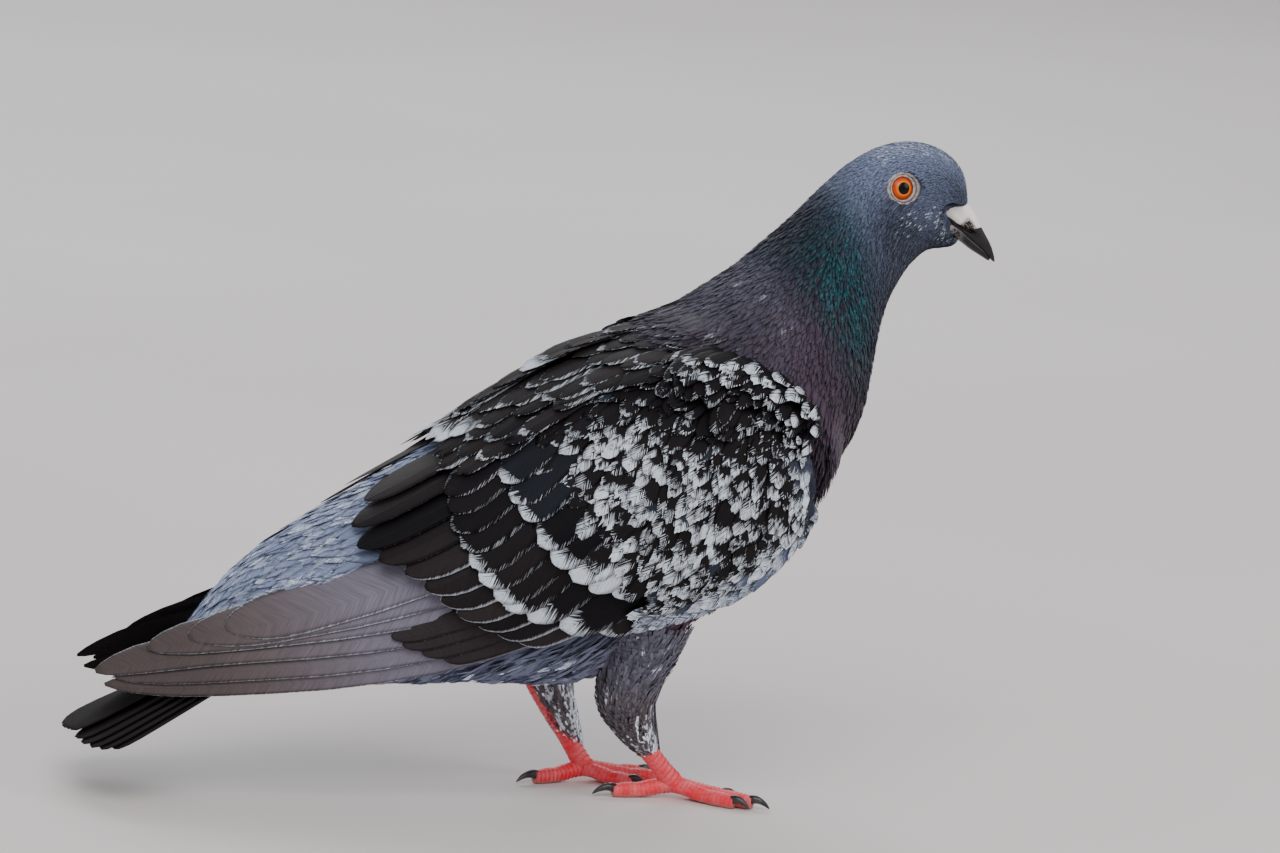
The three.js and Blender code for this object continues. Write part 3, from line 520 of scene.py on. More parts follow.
class Coat:
    """Feathers gathered as whole arrays, then made one mesh. Each one is a closed vane: a crowned grid above and flat
    quads from edge to edge below."""

    def __init__(self, name, seed, span=((0, 1), (0, 1))):
        self.name = name
        self.rng = np.random.default_rng(seed)
        self.span = span
        self.points, self.faces, self.smooth, self.uv = [], [], [], []
        self.marks = {"vane": [], "pigment": [], "tone": []}
        self.count = 0

    def grow(self, points, across, along, place, pigment, tone, mirror=False):
        """Adds feathers: points are feathers x stations x columns; across and along are millimetres from the shaft and
        the root, and place is each feather's place on the map."""
        n, rows, columns = points.shape[:3]
        if mirror:
            points = points * np.array([1, -1, 1])
        first = self.count + np.arange(n)[:, None, None] * rows * columns
        upper = (grid_faces(rows, columns)[None] + first).reshape(-1, 4)
        i = np.arange(rows - 1) * columns
        last = columns - 1
        lower = np.stack([i, i + columns, i + columns + last, i + last], -1)
        lower = (lower[None] + first).reshape(-1, 4)
        ends = np.stack([np.arange(columns)[::-1], (rows - 1) * columns + np.arange(columns)])
        ends = (ends[None] + first).reshape(-1, columns)
        for faces, soft in ((upper, True), (lower, False), (ends, False)):
            self.faces.append(faces[:, ::-1] if mirror else faces)
            self.smooth.append(np.full(len(faces), soft))
        self.points.append(points.reshape(-1, 3))
        shape = (n, rows, columns)
        seed = np.broadcast_to(self.rng.random(n)[:, None, None] * 50, shape)
        vane = np.stack([np.broadcast_to(across, shape), np.broadcast_to(along, shape), seed], -1)
        for key, value in (("vane", vane), ("pigment", pigment), ("tone", tone)):
            self.marks[key].append(np.broadcast_to(value, shape + (3,)).reshape(-1, 3))
        (u0, u1), (v0, v1) = self.span
        u = MAP_EDGE + MAP_SPAN * (place[0] - u0) / (u1 - u0)
        v = MAP_EDGE + MAP_SPAN * (place[1] - v0) / (v1 - v0)
        reach = np.maximum(np.abs(along).max(axis=(1, 2), keepdims=True), 1e-6)
        width = np.maximum(np.abs(across).max(axis=(1, 2), keepdims=True), 1e-6)
        uu = u[:, None, None] + MAP_PATCH * (0.5 + 0.5 * np.broadcast_to(across, shape) / width)
        vv = v[:, None, None] + MAP_PATCH * np.broadcast_to(along, shape) / reach
        self.uv.append(np.clip(np.stack([uu, vv], -1), 0, 1).reshape(-1, 2))
        self.count += n * rows * columns

    def lay(self, surface, u, v, lean, length, width, lift, marks, outline="small", columns=3, camber=0.18,
            fray=0.0, roll=0.1, mirror=False, limits=None):
        """Short feathers at roots u, v. Each turns by lean from the surface's own lie. Its shaft is walked station by
        station: the surface's slopes there turn millimetres along and across into steps of u and v."""
        n = len(u)
        if n == 0:
            return
        rng = self.rng
        stations, profile = (np.array(a) for a in OUTLINES[outline])
        c, s = np.cos(lean)[:, None], np.sin(lean)[:, None]
        cu, cv = u.astype(float), v.astype(float)
        track = []
        for k in range(len(stations)):
            du, dv = surface.slopes(cu, cv)
            ahead = unit(du) * surface.ahead
            side = unit(dv - dot(dv, ahead)[:, None] * ahead)
            guu, guv, gvv = dot(du, du), dot(du, dv), dot(dv, dv)
            det = np.maximum(guu * gvv - guv**2, 1e-6)

            def steps(direction):
                a, b = dot(du, direction), dot(dv, direction)
                return (gvv * a - guv * b) / det, (guu * b - guv * a) / det

            along, across = steps(c * ahead + s * side), steps(c * side - s * ahead)
            track.append(np.stack([cu, cv, *along, *across]))
            if k + 1 < len(stations):
                far = (stations[k + 1] - stations[k]) * length
                cu, cv = cu + far * along[0], cv + far * along[1]
                if limits:
                    cv = np.clip(cv, *limits)
        cu, cv, au, av, xu, xv = (t[..., None] for t in np.moveaxis(np.array(track), 0, -1))
        q = np.linspace(-1, 1, columns)[None, None, :]
        p = np.broadcast_to(stations[None, :, None], (n, len(stations), columns))
        far = p * length[:, None, None]
        slip = 0 * far
        if fray:
            slip = fray * length[:, None, None] * rng.uniform(-1, 0.6, (n, 1, columns)) * smooth(p, 0.55, 0.95)
        half = profile[None, :, None] * (width / 2)[:, None, None]
        wide = q * half
        uu = cu + slip * au + wide * xu
        vv = cv + slip * av + wide * xv
        if limits:
            vv = np.clip(vv, limits[0] - 0.01, limits[1] + 0.01)
        low, high = lift
        tilt = rng.normal(0, roll, n)[:, None, None]
        rise = low[:, None, None] + (high - low)[:, None, None] * p**0.7 + camber * (1 - q**2) * half + tilt * wide
        points = surface.place(uu, vv, rise)
        pigment, tone = marks(p, np.broadcast_to(q, far.shape), n, rng)
        self.grow(points, wide, far + slip, (u, v), pigment, tone, mirror)

    def vanes(self, surface, root, tip, width, rise, roll, marks, outline="long", columns=7, shaft=0.0, camber=0.05,
              mirror=False, fray=0.0):
        """Long feathers from root to tip in u and v. The height climbs along u, and rolls up towards the lower edge;
        the width is turned into v by the surface's own size there."""
        n = len(root)
        stations, profile = (np.array(a) for a in OUTLINES[outline])
        q = np.linspace(-1, 1, columns)
        p = stations[None, :, None] + np.zeros((n, 1, columns))
        middle = (root + tip) / 2
        run = (tip - root) * np.stack([np.ones(n), surface.breadth(middle[:, 0], middle[:, 1])], -1)
        length = np.linalg.norm(run, axis=-1)
        run = run / length[:, None]
        half = profile[None, :, None] * (width / 2)[:, None, None]
        x = q[None, None, :] * half
        ragged = fray * self.rng.uniform(-1, 0.3, p.shape) * smooth(p, 0.8, 1) if fray else 0
        u = root[:, 0, None, None] + (tip - root)[:, 0, None, None] * p + ragged
        v = root[:, 1, None, None] + (tip - root)[:, 1, None, None] * p
        size = surface.breadth(u, v)
        uu = u - run[:, 1, None, None] * x
        vv = v + run[:, 0, None, None] * x / size
        at, height, climb = rise
        lift = height[:, None, None] + climb * (uu - at[:, None, None]) + roll * x
        lift = lift + camber * (1 - (q[None, None, :]) ** 2) * half
        points = surface.place(uu, vv, lift)
        pigment, tone = marks(p, np.broadcast_to(q, p.shape), n, self.rng)
        self.grow(points, x - shaft * half, p * length[:, None, None], (tip[:, 0], tip[:, 1]), pigment, tone, mirror)

    def build(self, material, replaces=(), slot=None):
        """Makes the one mesh, its faces grouped by their number of sides, and keeps its marks for the skin."""
        points = np.concatenate(self.points)
        marks = {key: np.concatenate(parts) for key, parts in self.marks.items()}
        FEATHER_MARKS.append((points, marks["pigment"], marks["tone"]))
        by_size = {}
        for faces, soft in zip(self.faces, self.smooth):
            by_size.setdefault(faces.shape[1], []).append((faces, soft))
        faces = [np.concatenate([f for f, _ in group]) for group in by_size.values()]
        soft = np.concatenate([s for group in by_size.values() for _, s in group])
        return make_piece(self.name, points, faces, soft, marks, np.concatenate(self.uv), replaces, material)


def roots(surface, u_range, v_range, along, across, rng, jitter=0.3):
    """Rows of roots down a surface: the rows a feather's step apart by arc length, the roots of each row a step apart
    in the same way, every second row staggered, and each root jittered."""
    u0, u1 = u_range
    v0, v1 = v_range
    fine_u = np.linspace(u0, u1, 400)
    fine_v = np.linspace(v0, v1, 240)
    middle = surface.flat(fine_u[:, None], np.linspace(v0, v1, 7)[None, :])
    step = np.linalg.norm(np.diff(middle, axis=0), axis=-1).mean(1)
    rows = np.concatenate([[0], np.cumsum(step / along((fine_u[1:] + fine_u[:-1]) / 2))])
    us, vs = [], []
    for k in range(int(rows[-1]) + 1):
        rng.random()  # one draw a row is passed over, and the draws after it count on that
        u = np.interp(k, rows, fine_u)
        line = surface.flat(np.full_like(fine_v, u), fine_v)
        reach = np.concatenate([[0], np.cumsum(np.linalg.norm(np.diff(line, axis=0), axis=-1))])
        count = max(3, int(reach[-1] / float(across(u))))
        at = (np.arange(count) + 0.5 * (k % 2) + rng.uniform(-jitter, jitter, count)) * reach[-1] / count
        vs.append(np.interp(at, reach, fine_v))
        slope = surface.slopes(np.array(u), np.array((v0 + v1) / 2))[0]
        size = along(u) / max(np.linalg.norm(slope), 1e-6)
        us.append(u + rng.uniform(-jitter, jitter, count) * size)
    return np.concatenate(us), np.concatenate(vs)


# ---- Places that feathers keep clear of ----
def eye_frame(side):
    """The eye's centre, its axis outwards, and two directions square to it."""
    level = math.cos(EYE_UP)
    axis = np.array([level * math.sin(EYE_FORWARD), level * math.cos(EYE_FORWARD), math.sin(EYE_UP)])
    fore = unit(np.cross(axis, np.array([0, 0, 1.0])))
    high = np.cross(fore, axis)
    turn = np.array([1, side, 1])
    return np.array(EYE_AT) * turn, axis * turn, fore * turn, high * turn


def ring_shape(turn):
    """How much wider the bare ring is than round, by the angle from straight ahead: widest towards the bill."""
    return 1 + 0.03 * np.cos(2 * (turn - 0.5)) + 0.17 * smooth(np.cos(turn + 0.4), 0.1, 1.0)


def from_eye(points):
    """Distance of points from the axis of the nearer eye against the ring's own shape, and how far out along the axis
    they are."""
    p = np.array(points, float)
    p[..., 1] = np.abs(p[..., 1])
    centre, axis, fore, high = eye_frame(1)
    d = p - centre
    turn = np.arctan2(dot(d, high), dot(d, fore))
    out = dot(d, axis)
    return np.linalg.norm(d - out[..., None] * axis, axis=-1) / ring_shape(turn), out


def beside_bill(points):
    """Whether points lie in front of the edge of the face feathers, where the bill and cere stand."""
    x, y, z = points[..., 0], np.abs(points[..., 1]), points[..., 2]
    height, front = np.array(BILL_MARGIN, float).T
    return (x > np.interp(z, height, front)) & (y < BILL_MARGIN_HALF) & (z < BILL_MARGIN_TOP)


def wing_cover(points):
    """How far inside the folded wing's edges a body point lies, in millimetres; above 0 the wing hides it."""
    dx, dz = points[..., 0] - WING_START[0], points[..., 2] - WING_START[1]
    s = dx * WING_BACK[0] + dz * WING_BACK[1]
    h = dx * WING_UP[0] + dz * WING_UP[1]
    reach, upper, _, _, _, lower, _ = np.array(ARM, float).T
    top = np.interp(s, reach, upper)
    low = np.interp(s, reach, lower)
    front, end = WING_COVERED
    return np.minimum(np.minimum(top - h, h - low), np.minimum(s - front, end - s))


# ---- Node helpers ----
def rgb(code):
    """A display colour such as 2b2427 as the linear numbers that shaders use."""
    parts = np.array([int(code[i : i + 2], 16) for i in (0, 2, 4)]) / 255
    return tuple(np.where(parts < 0.04045, parts / 12.92, ((parts + 0.055) / 1.055) ** 2.4))


class Net:
    """Adds nodes to a tree; an input given as a socket is linked, and any other value is set."""

    def __init__(self, tree):
        self.tree = tree

    def put(self, node, inputs):
        """Sets or links a node's inputs, which are given by name or number."""
        for key, value in inputs.items():
            if isinstance(value, bpy.types.NodeSocket):
                self.tree.links.new(value, node.inputs[key])
            else:
                node.inputs[key].default_value = value

    def add(self, kind, inputs=None, **settings):
        """A new node with its settings made and then its inputs put in."""
        node = self.tree.nodes.new(kind if kind.startswith("Node") else "ShaderNode" + kind)
        for key, value in settings.items():
            setattr(node, key, value)
        self.put(node, inputs or {})
        return node

    def mark(self, name):
        """A piece's own attribute of three numbers."""
        return self.add("Attribute", attribute_name=name).outputs["Vector"]

    def place(self):
        """The point on the piece, in its own metres."""
        return self.add("TexCoord").outputs["Object"]

    def relief(self, height, strength, distance):
        """The surface's normal tilted by a height, as far as distance in metres."""
        return self.add("Bump", {"Height": height, "Strength": strength, "Distance": distance}).outputs[0]

    def math(self, operation, *values, clamp=False):
        return self.add("Math", dict(enumerate(values)), operation=operation, use_clamp=clamp).outputs[0]

    def step(self, value, low, high):
        """0 below low, 1 above high, and a smooth step between them."""
        inputs = {"Value": value, "From Min": low, "From Max": high}
        return self.add("MapRange", inputs, interpolation_type="SMOOTHSTEP").outputs[0]

    def mix(self, factor, a, b, blend="MIX"):
        """Two colours mixed by the factor, or blended; inputs 0, 6 and 7 of the node are those that colours use."""
        node = self.add("Mix", {}, data_type="RGBA", blend_type=blend)
        self.put(node, {0: factor, 6: a, 7: b})
        return node.outputs[2]

    def split(self, vector):
        return self.add("SeparateXYZ", {"Vector": vector}).outputs

    def join(self, x, y, z):
        return self.add("CombineXYZ", {"X": x, "Y": y, "Z": z}).outputs[0]

    def noise(self, vector, scale, detail=2.0, roughness=0.5):
        inputs = {"Vector": vector, "Scale": scale, "Detail": detail, "Roughness": roughness}
        return self.add("TexNoise", inputs).outputs["Fac"]


def group(name, inputs, outputs, fill):
    """A shader node group made once: inputs and outputs are name and socket type, and fill puts the nodes in."""
    tree = bpy.data.node_groups.get(name)
    if tree:
        return tree
    tree = bpy.data.node_groups.new(name, "ShaderNodeTree")
    for label, kind in inputs:
        tree.interface.new_socket(name=label, in_out="INPUT", socket_type="NodeSocket" + kind)
    for label, kind in outputs:
        tree.interface.new_socket(name=label, in_out="OUTPUT", socket_type="NodeSocket" + kind)
    net = Net(tree)
    source = net.add("NodeGroupInput").outputs
    sink = net.add("NodeGroupOutput").inputs
    for label, socket in fill(net, source).items():
        tree.links.new(socket, sink[label])
    return tree


def vane_lines():
    """Barbs of a feather: slanting lines off the shaft, ragged by noise that is long along each barb."""

    def fill(net, source):
        x, y, seed = net.split(source["Vane"])
        side = net.math("ABSOLUTE", x)
        barb = net.math("SUBTRACT", y, net.math("MULTIPLY", side, source["Slant"]))
        fine = net.math("DIVIDE", barb, source["Barb"])
        streak = net.noise(net.join(fine, net.math("MULTIPLY", side, 0.18), seed), 1.0, 2.0, 0.6)
        wave = net.math("SINE", net.math("MULTIPLY", fine, 6.2832))
        line = net.math("MULTIPLY_ADD", wave, 0.5, 0.5)
        shaft = net.math("SUBTRACT", 1.0, net.step(side, 0.1, 0.32))
        height = net.math("ADD", net.math("ADD", net.math("MULTIPLY", line, 0.35), streak), shaft)
        return {"Streak": streak, "Height": height}

    inputs = [("Vane", "Vector"), ("Slant", "Float"), ("Barb", "Float")]
    return group("Vane lines", inputs, [("Streak", "Float"), ("Height", "Float")], fill)


def plumage_colours():
    """Feather colour from pigment masks: dark to slate, then plum, then green sheen, then white with a ragged edge."""

    def fill(net, source):
        slate, plum, teal = net.split(source["Pigment"])
        white, shade, warm = net.split(source["Tone"])
        streak = source["Streak"]
        colour = net.mix(slate, source["Dark"], source["Slate"])
        colour = net.mix(plum, colour, source["Plum"])
        colour = net.mix(warm, colour, source["Brown"])
        sheen = net.math("MULTIPLY", teal, net.step(streak, 0.25, 0.75), clamp=True)
        colour = net.mix(sheen, colour, source["Teal"])
        light = net.math("MULTIPLY", net.math("ADD", 0.45, shade), net.math("MULTIPLY_ADD", streak, 1.1, 0.45))
        grey = net.join(light, light, light)
        colour = net.mix(1.0, colour, grey, "MULTIPLY")
        wander = net.math("MULTIPLY", net.math("SUBTRACT", streak, 0.5), source["Ragged"])
        ragged = net.math("MULTIPLY_ADD", wander, net.step(white, 0.0, 0.25), white)
        pale = net.step(ragged, 0.38, 0.62)
        streaky = net.math("MULTIPLY_ADD", streak, 1.3, 0.32)
        bright = net.math("MULTIPLY", streaky, net.math("MULTIPLY_ADD", shade, 0.7, 0.6))
        tint = net.mix(1.0, source["White"], net.join(bright, bright, bright), "MULTIPLY")
        colour = net.mix(pale, colour, tint)
        return {"Colour": colour}

    inputs = [(label, "Color") for label in ("Dark", "Slate", "Plum", "Brown", "Teal", "White")]
    inputs += [("Pigment", "Vector"), ("Tone", "Vector"), ("Streak", "Float"), ("Ragged", "Float")]
    return group("Plumage colours", inputs, [("Colour", "Color")], fill)


def new_material(name):
    """A material of that name, with a net and its shader to fill in; both are None where it was made before."""
    material = bpy.data.materials.get(name)
    if material:
        return material, None, None
    material = bpy.data.materials.new(name)
    material.use_nodes = True
    net = Net(material.node_tree)
    return material, net, material.node_tree.nodes["Principled BSDF"]


def plumage(name, barb, slant, ragged, roughness, sheen=0.0, depth=0.25, skin=False, metal=0.0):
    """The feather material: pigment and tone from the piece's own attributes, barbs from its vane attribute."""
    material, net, shader = new_material(name)
    if net is None:
        return material
    colours = bpy.context.scene.pigeon_colours
    pigment, tone = net.mark("pigment"), net.mark("tone")
    if skin:
        streak = net.noise(net.place(), 900.0, 3.0)
        height = streak
    else:
        inputs = {"Vane": net.mark("vane"), "Slant": slant, "Barb": barb}
        lines = net.add("Group", inputs, node_tree=vane_lines())
        streak, height = lines.outputs["Streak"], lines.outputs["Height"]
    inputs = {"Pigment": pigment, "Tone": tone, "Streak": streak, "Ragged": ragged}
    for label in ("dark", "slate", "plum", "brown", "teal", "white"):
        inputs[label.title()] = (*getattr(colours, label), 1)
    paint = net.add("Group", inputs, node_tree=plumage_colours())
    teal = net.split(pigment)[2]
    inputs = {
        "Base Color": paint.outputs["Colour"],
        "Roughness": net.math("MULTIPLY_ADD", teal, -0.2, roughness),
        "Normal": net.relief(height, depth, 0.0002),
        "Sheen Weight": sheen,
        "Sheen Roughness": 0.4,
        "Specular IOR Level": 0.12,
    }
    if metal:
        inputs["Metallic"] = net.math("MULTIPLY", teal, metal, clamp=True)
    net.put(shader, inputs)
    return material


def horn(name, colour, pale, roughness, coat, grain):
    """Bill, claw, cere or lid: two colours by noise and by the piece's own mask, with fine relief; the mask holds
    painted shade and painted highlights as well as real flecks.
    """
    material, net, shader = new_material(name)
    if net is None:
        return material
    place = net.place()
    mask = net.split(net.mark("mask"))
    cloud = net.noise(place, grain, 4.0)
    fine = net.noise(place, grain * 6, 2.0)
    mixed = net.mix(net.step(cloud, 0.35, 0.7), (*colour, 1), (*pale, 1))
    # Dark by the mask's first number: painted shade in the eye ring's folds and the bill's slit and mouth line, and the
    # cere's own dark flecks.
    dark = net.math("MULTIPLY", mask[0], net.step(fine, 0.2, 0.6), clamp=True)
    mixed = net.mix(dark, mixed, (*rgb("1a0d10"), 1))
    # Pale by the mask's second number: the lower bill's own flecks, and painted highlights at the bill's tip.
    flecks = net.math("MULTIPLY", mask[1], net.step(fine, 0.35, 0.6), clamp=True)
    mixed = net.mix(flecks, mixed, (*rgb("9a9294"), 1))
    height = net.math("ADD", cloud, net.math("MULTIPLY", fine, 0.5))
    net.put(shader, {
        "Base Color": mixed,
        "Roughness": net.math("MULTIPLY_ADD", cloud, 0.3, roughness - 0.15),
        "Normal": net.relief(height, 0.3, 0.0002),
        "Specular IOR Level": 0.3,
        "Coat Weight": coat,
        "Coat Roughness": 0.15,
    })
    return material


# Millimetres from the eye's axis at which one colour has given way to the next.
PUPIL_EDGE = (1.7, 1.86)
IRIS_CHANGE = (2.0, 2.65)
IRIS_EDGE = (2.95, 3.45)


def iris():
    """Eye colour by distance from the axis: black pupil, yellow-orange ring, orange-red iris, dark edge; radial
    fibres."""
    material, net, shader = new_material("Eye")
    if net is None:
        return material
    colours = bpy.context.scene.pigeon_colours
    radius, turn, _ = net.split(net.mark("mask"))
    grain = net.join(net.math("MULTIPLY", turn, 9.0), net.math("MULTIPLY", radius, 0.7), 0.0)
    fibre = net.noise(grain, 1.0, 3.0)
    place = net.math("ADD", radius, net.math("MULTIPLY", net.math("SUBTRACT", fibre, 0.5), 0.5))
    colour = net.mix(net.step(place, *IRIS_CHANGE), (*colours.iris_inner, 1), (*colours.iris_outer, 1))
    colour = net.mix(net.math("MULTIPLY", fibre, 0.35), colour, (*rgb("ff8a2a"), 1))
    colour = net.mix(net.step(radius, *IRIS_EDGE), colour, (*rgb("4a0d05"), 1))
    colour = net.mix(net.step(radius, *PUPIL_EDGE), (*rgb("020202"), 1), colour)
    net.put(shader, {
        "Base Color": colour,
        "Normal": net.relief(fibre, 0.15, 0.0001),
        "Roughness": 0.35,
        "Specular IOR Level": 0.1,
        "Coat Weight": 0.25,
        "Coat Roughness": 0.02,
    })
    return material


def scaly_skin():
    """Leg skin: coral red with paler plates; creases and pads come from the piece's own mask, small cells between."""
    material, net, shader = new_material("Leg skin")
    if net is None:
        return material
    colours = bpy.context.scene.pigeon_colours
    place = net.place()
    crease, pad, _ = net.split(net.mark("mask"))
    cells = net.add("TexVoronoi", {"Vector": place, "Scale": 1150.0}, feature="DISTANCE_TO_EDGE")
    cloud = net.noise(place, 260.0, 3.0)
    colour = net.mix(net.step(cloud, 0.3, 0.7), (*colours.leg, 1), (*colours.leg_pale, 1))
    cell = net.math("MULTIPLY_ADD", net.step(cells.outputs["Distance"], 0.0, 0.1), 0.35, 0.65)
    plate = net.math("SUBTRACT", 1.0, net.math("MULTIPLY", crease, 0.75))
    grain = net.math("MULTIPLY", cell, plate, clamp=True)
    colour = net.mix(grain, (*rgb("a3121f"), 1), colour)
    colour = net.mix(pad, colour, (*rgb("c98a80"), 1))
    net.put(shader, {
        "Base Color": colour,
        "Roughness": net.math("MULTIPLY_ADD", cloud, 0.25, 0.32),
        "Normal": net.relief(grain, 0.5, 0.0003),
        "Subsurface Weight": 0.15,
        "Subsurface Radius": (0.002, 0.0006, 0.0005),
    })
    return material


# ---- Settings ----
def colour_property(name, description, code):
    """A colour that a user may change, with its default as a display colour."""
    return bpy.props.FloatVectorProperty(
        name=name, description=description, subtype="COLOR", size=3, min=0, max=1, default=rgb(code)
    )


class PigeonColours(bpy.types.PropertyGroup):
    """Colours of the plumage and bare parts."""

    dark: colour_property("Dark", "Blackish wing and back feathers", "0b090e")
    slate: colour_property("Slate", "Blue-grey head and belly feathers", "5f6983")
    plum: colour_property("Plum", "Maroon-brown breast feathers", "5a3a4a")
    brown: colour_property("Brown", "Taupe flight feathers", "5e5353")
    teal: colour_property("Teal", "Green sheen on the neck", "1f6872")
    white: colour_property("White", "White markings", "d9e3ef")
    iris_inner: colour_property("Inner iris", "Ring about the pupil", "e97c08")
    iris_outer: colour_property("Outer iris", "Rest of the iris", "bd2406")
    leg: colour_property("Leg", "Leg and foot skin", "ff3044")
    leg_pale: colour_property("Pale leg", "Paler plates of the legs", "ff7078")
    bill: colour_property("Bill", "Horn of the bill", "0f0d13")
    cere: colour_property("Cere", "Chalky skin over the nostrils", "f7f1eb")
    lid: colour_property("Eye ring", "Bare skin about the eye", "958c8e")


class PigeonSizes(bpy.types.PropertyGroup):
    """Sizes of the coat, in metres."""

    skin_depth: bpy.props.FloatProperty(
        name="Skin depth",
        description="How far the skin lies below the tips of the body feathers",
        default=0.0018,
        unit="LENGTH",
    )
    face_depth: bpy.props.FloatProperty(
        name="Face skin depth",
        description="How far the skin lies below the tips of the face feathers",
        default=0.0008,
        unit="LENGTH",
    )
    feather_scale: bpy.props.FloatProperty(
        name="Feather length",
        description="Length of the body feathers against their usual length",
        default=1.0,
        subtype="FACTOR",
        min=0.7,
        max=1.3,
    )
    floor_radius: bpy.props.FloatProperty(
        name="Floor radius", description="Radius of the floor", default=6.0, unit="LENGTH"
    )


# ---- Body coat ----
# Stations t count BODY's rows, from 0 at the tail base to 19 at the bill base. Angles a are in radians from the top.
# Feathers by station: station, length, width, step along and step across in millimetres.
COAT_TABLE = np.array([
    (0, 20, 7.0, 3.4, 3.0),
    (4, 15, 5.6, 2.6, 2.4),
    (7, 11, 4.0, 1.9, 1.8),
    (9.5, 9, 3.2, 1.6, 1.5),
    (11.5, 7.5, 2.6, 1.4, 1.3),
    (13.5, 4.6, 1.8, 1.05, 0.95),
    (15, 2.9, 1.25, 0.8, 0.72),
    (17, 2.3, 1.05, 0.68, 0.62),
    (19, 1.8, 0.9, 0.6, 0.55),
])
LENGTH, WIDTH, STEP_ALONG, STEP_ACROSS = 1, 2, 3, 4


def coat_size(t, column):
    """One column of the table at station t, on straight lines between its rows."""
    return np.interp(t, COAT_TABLE[:, 0], COAT_TABLE[:, column])


def body_marks(t, angle, rng, rim):
    """Pigments of body feathers by station and angle: slate head and belly, green and plum neck, dark back, pale rump,
    and pale streaks on the rim beside the front of the wing. Painted light makes the crown and nape lighter, as if lit
    from above, and painted shade makes the cheeks and throat darker."""
    a = np.abs(angle)
    n = len(t)
    luck = rng.random(n)
    low_neck = bump(t, 9.6, 2.6)
    slate = smooth(t, 12.6, 14.2) * (0.95 - 0.3 * smooth(a, 1.7, 2.8))
    slate = slate + 0.3 * smooth(t, 10.5, 13) + 0.35 * low_neck
    belly = smooth(a, 1.9, 2.5) * (1 - smooth(t, 6.0, 7.4))
    rump = (1 - smooth(t, 3.8, 5.2)) * (1 - smooth(a, 1.3, 2.0))
    mantle = smooth(t, 5, 6) * (1 - smooth(t, 9.5, 10.5)) * (1 - smooth(a, 1.0, 1.4))
    slate = slate + 0.95 * belly + 0.5 * smooth(a, 1.2, 1.9) * (1 - smooth(t, 4, 6))
    slate = np.clip(slate + 0.9 * rump + 0.3 * mantle, 0, 1)
    teal = bump(t, 11.8 + 0.3 * (a - 1.2), 1.8) * bump(a, 1.25, 1.2) * 1.4
    teal = teal + 0.45 * bump(t, 13.2, 1.2) * bump(a, 0.9, 0.9)
    teal = np.clip(teal, 0, 1) * np.where(luck < 0.75, rng.uniform(0.6, 1.15, n), 0.12)
    plum = smooth(t, 5.5, 7) * (1 - smooth(t, 9.4, 12.2)) * smooth(a, 0.2, 1.4) * (1 - 0.5 * low_neck)
    shoulder = bump(t, 8.4, 1.8) * bump(a, 0.9, 0.8)
    plum = np.clip(plum * (1 - 0.45 * shoulder) * rng.uniform(0.75, 1.1, n) + 0.15 * mantle, 0, 1)
    white = np.maximum(rump * rng.uniform(0.33, 0.45, n), belly * np.where(luck < 0.08, 0.5, 0.2))
    # The crown has pale mottles of its own, and its feathers are also painted lighter, as if lit from above.
    crown_mottle_and_light = smooth(t, 13.2, 15.2) * (1 - smooth(a, 0.4, 1.5))
    white = np.maximum(white, crown_mottle_and_light * rng.uniform(0.32, 0.47, n))
    patch = np.exp(-(((t - 8.05) / 0.3) ** 2) - ((a - 0.57) / 0.09) ** 2)
    white = np.maximum(white, mantle * np.where(luck < 0.03, 0.4, 0.0) + rng.uniform(0.3, 0.55, n) * patch)
    white = np.maximum(white, rim * rng.uniform(0.3, 0.55, n))
    flecks = 0.5 * bump(t, 17.1, 1.0) * bump(a, 2.3, 0.45) + 0.2 * bump(t, 15.7, 1.5) * bump(a, 1.85, 0.28)
    white = np.maximum(white, np.where(luck < flecks, 0.52, 0))
    bristle = smooth(t, 16.4, 17.6) * smooth(a, 0.7, 1.3) * (1 - smooth(a, 1.75, 2.0))
    # Painted shade: the cheeks and throat are made darker, as under the head.
    cheek_and_throat_shade = bump(t, 14.3, 2.0) * smooth(a, 0.9, 1.6) + smooth(t, 13, 14) * smooth(a, 1.7, 2.4) * 0.8
    shade = 0.51 + rng.uniform(-0.11, 0.11, n) * (1 + 1.2 * smooth(t, 12.5, 14)) + 0.8 * crown_mottle_and_light + 1.15 * rump
    # Painted light: the top of the upper neck is made lighter, as if lit from above.
    shade = shade + 0.15 * smooth(t, 11.5, 13) * (1 - smooth(a, 0.5, 1.2))
    shade = shade - 0.56 * np.clip(cheek_and_throat_shade, 0, 1) - 0.3 * bristle - 0.2 * shoulder
    shade = shade + rng.uniform(0.8, 1.2, n) * belly
    warm = 0.3 * mantle * rng.random(n) + 0.3 * belly
    return np.stack([slate + (1 - slate) * 0.4 * rim, plum, teal], -1), np.stack([white, shade, warm], -1)


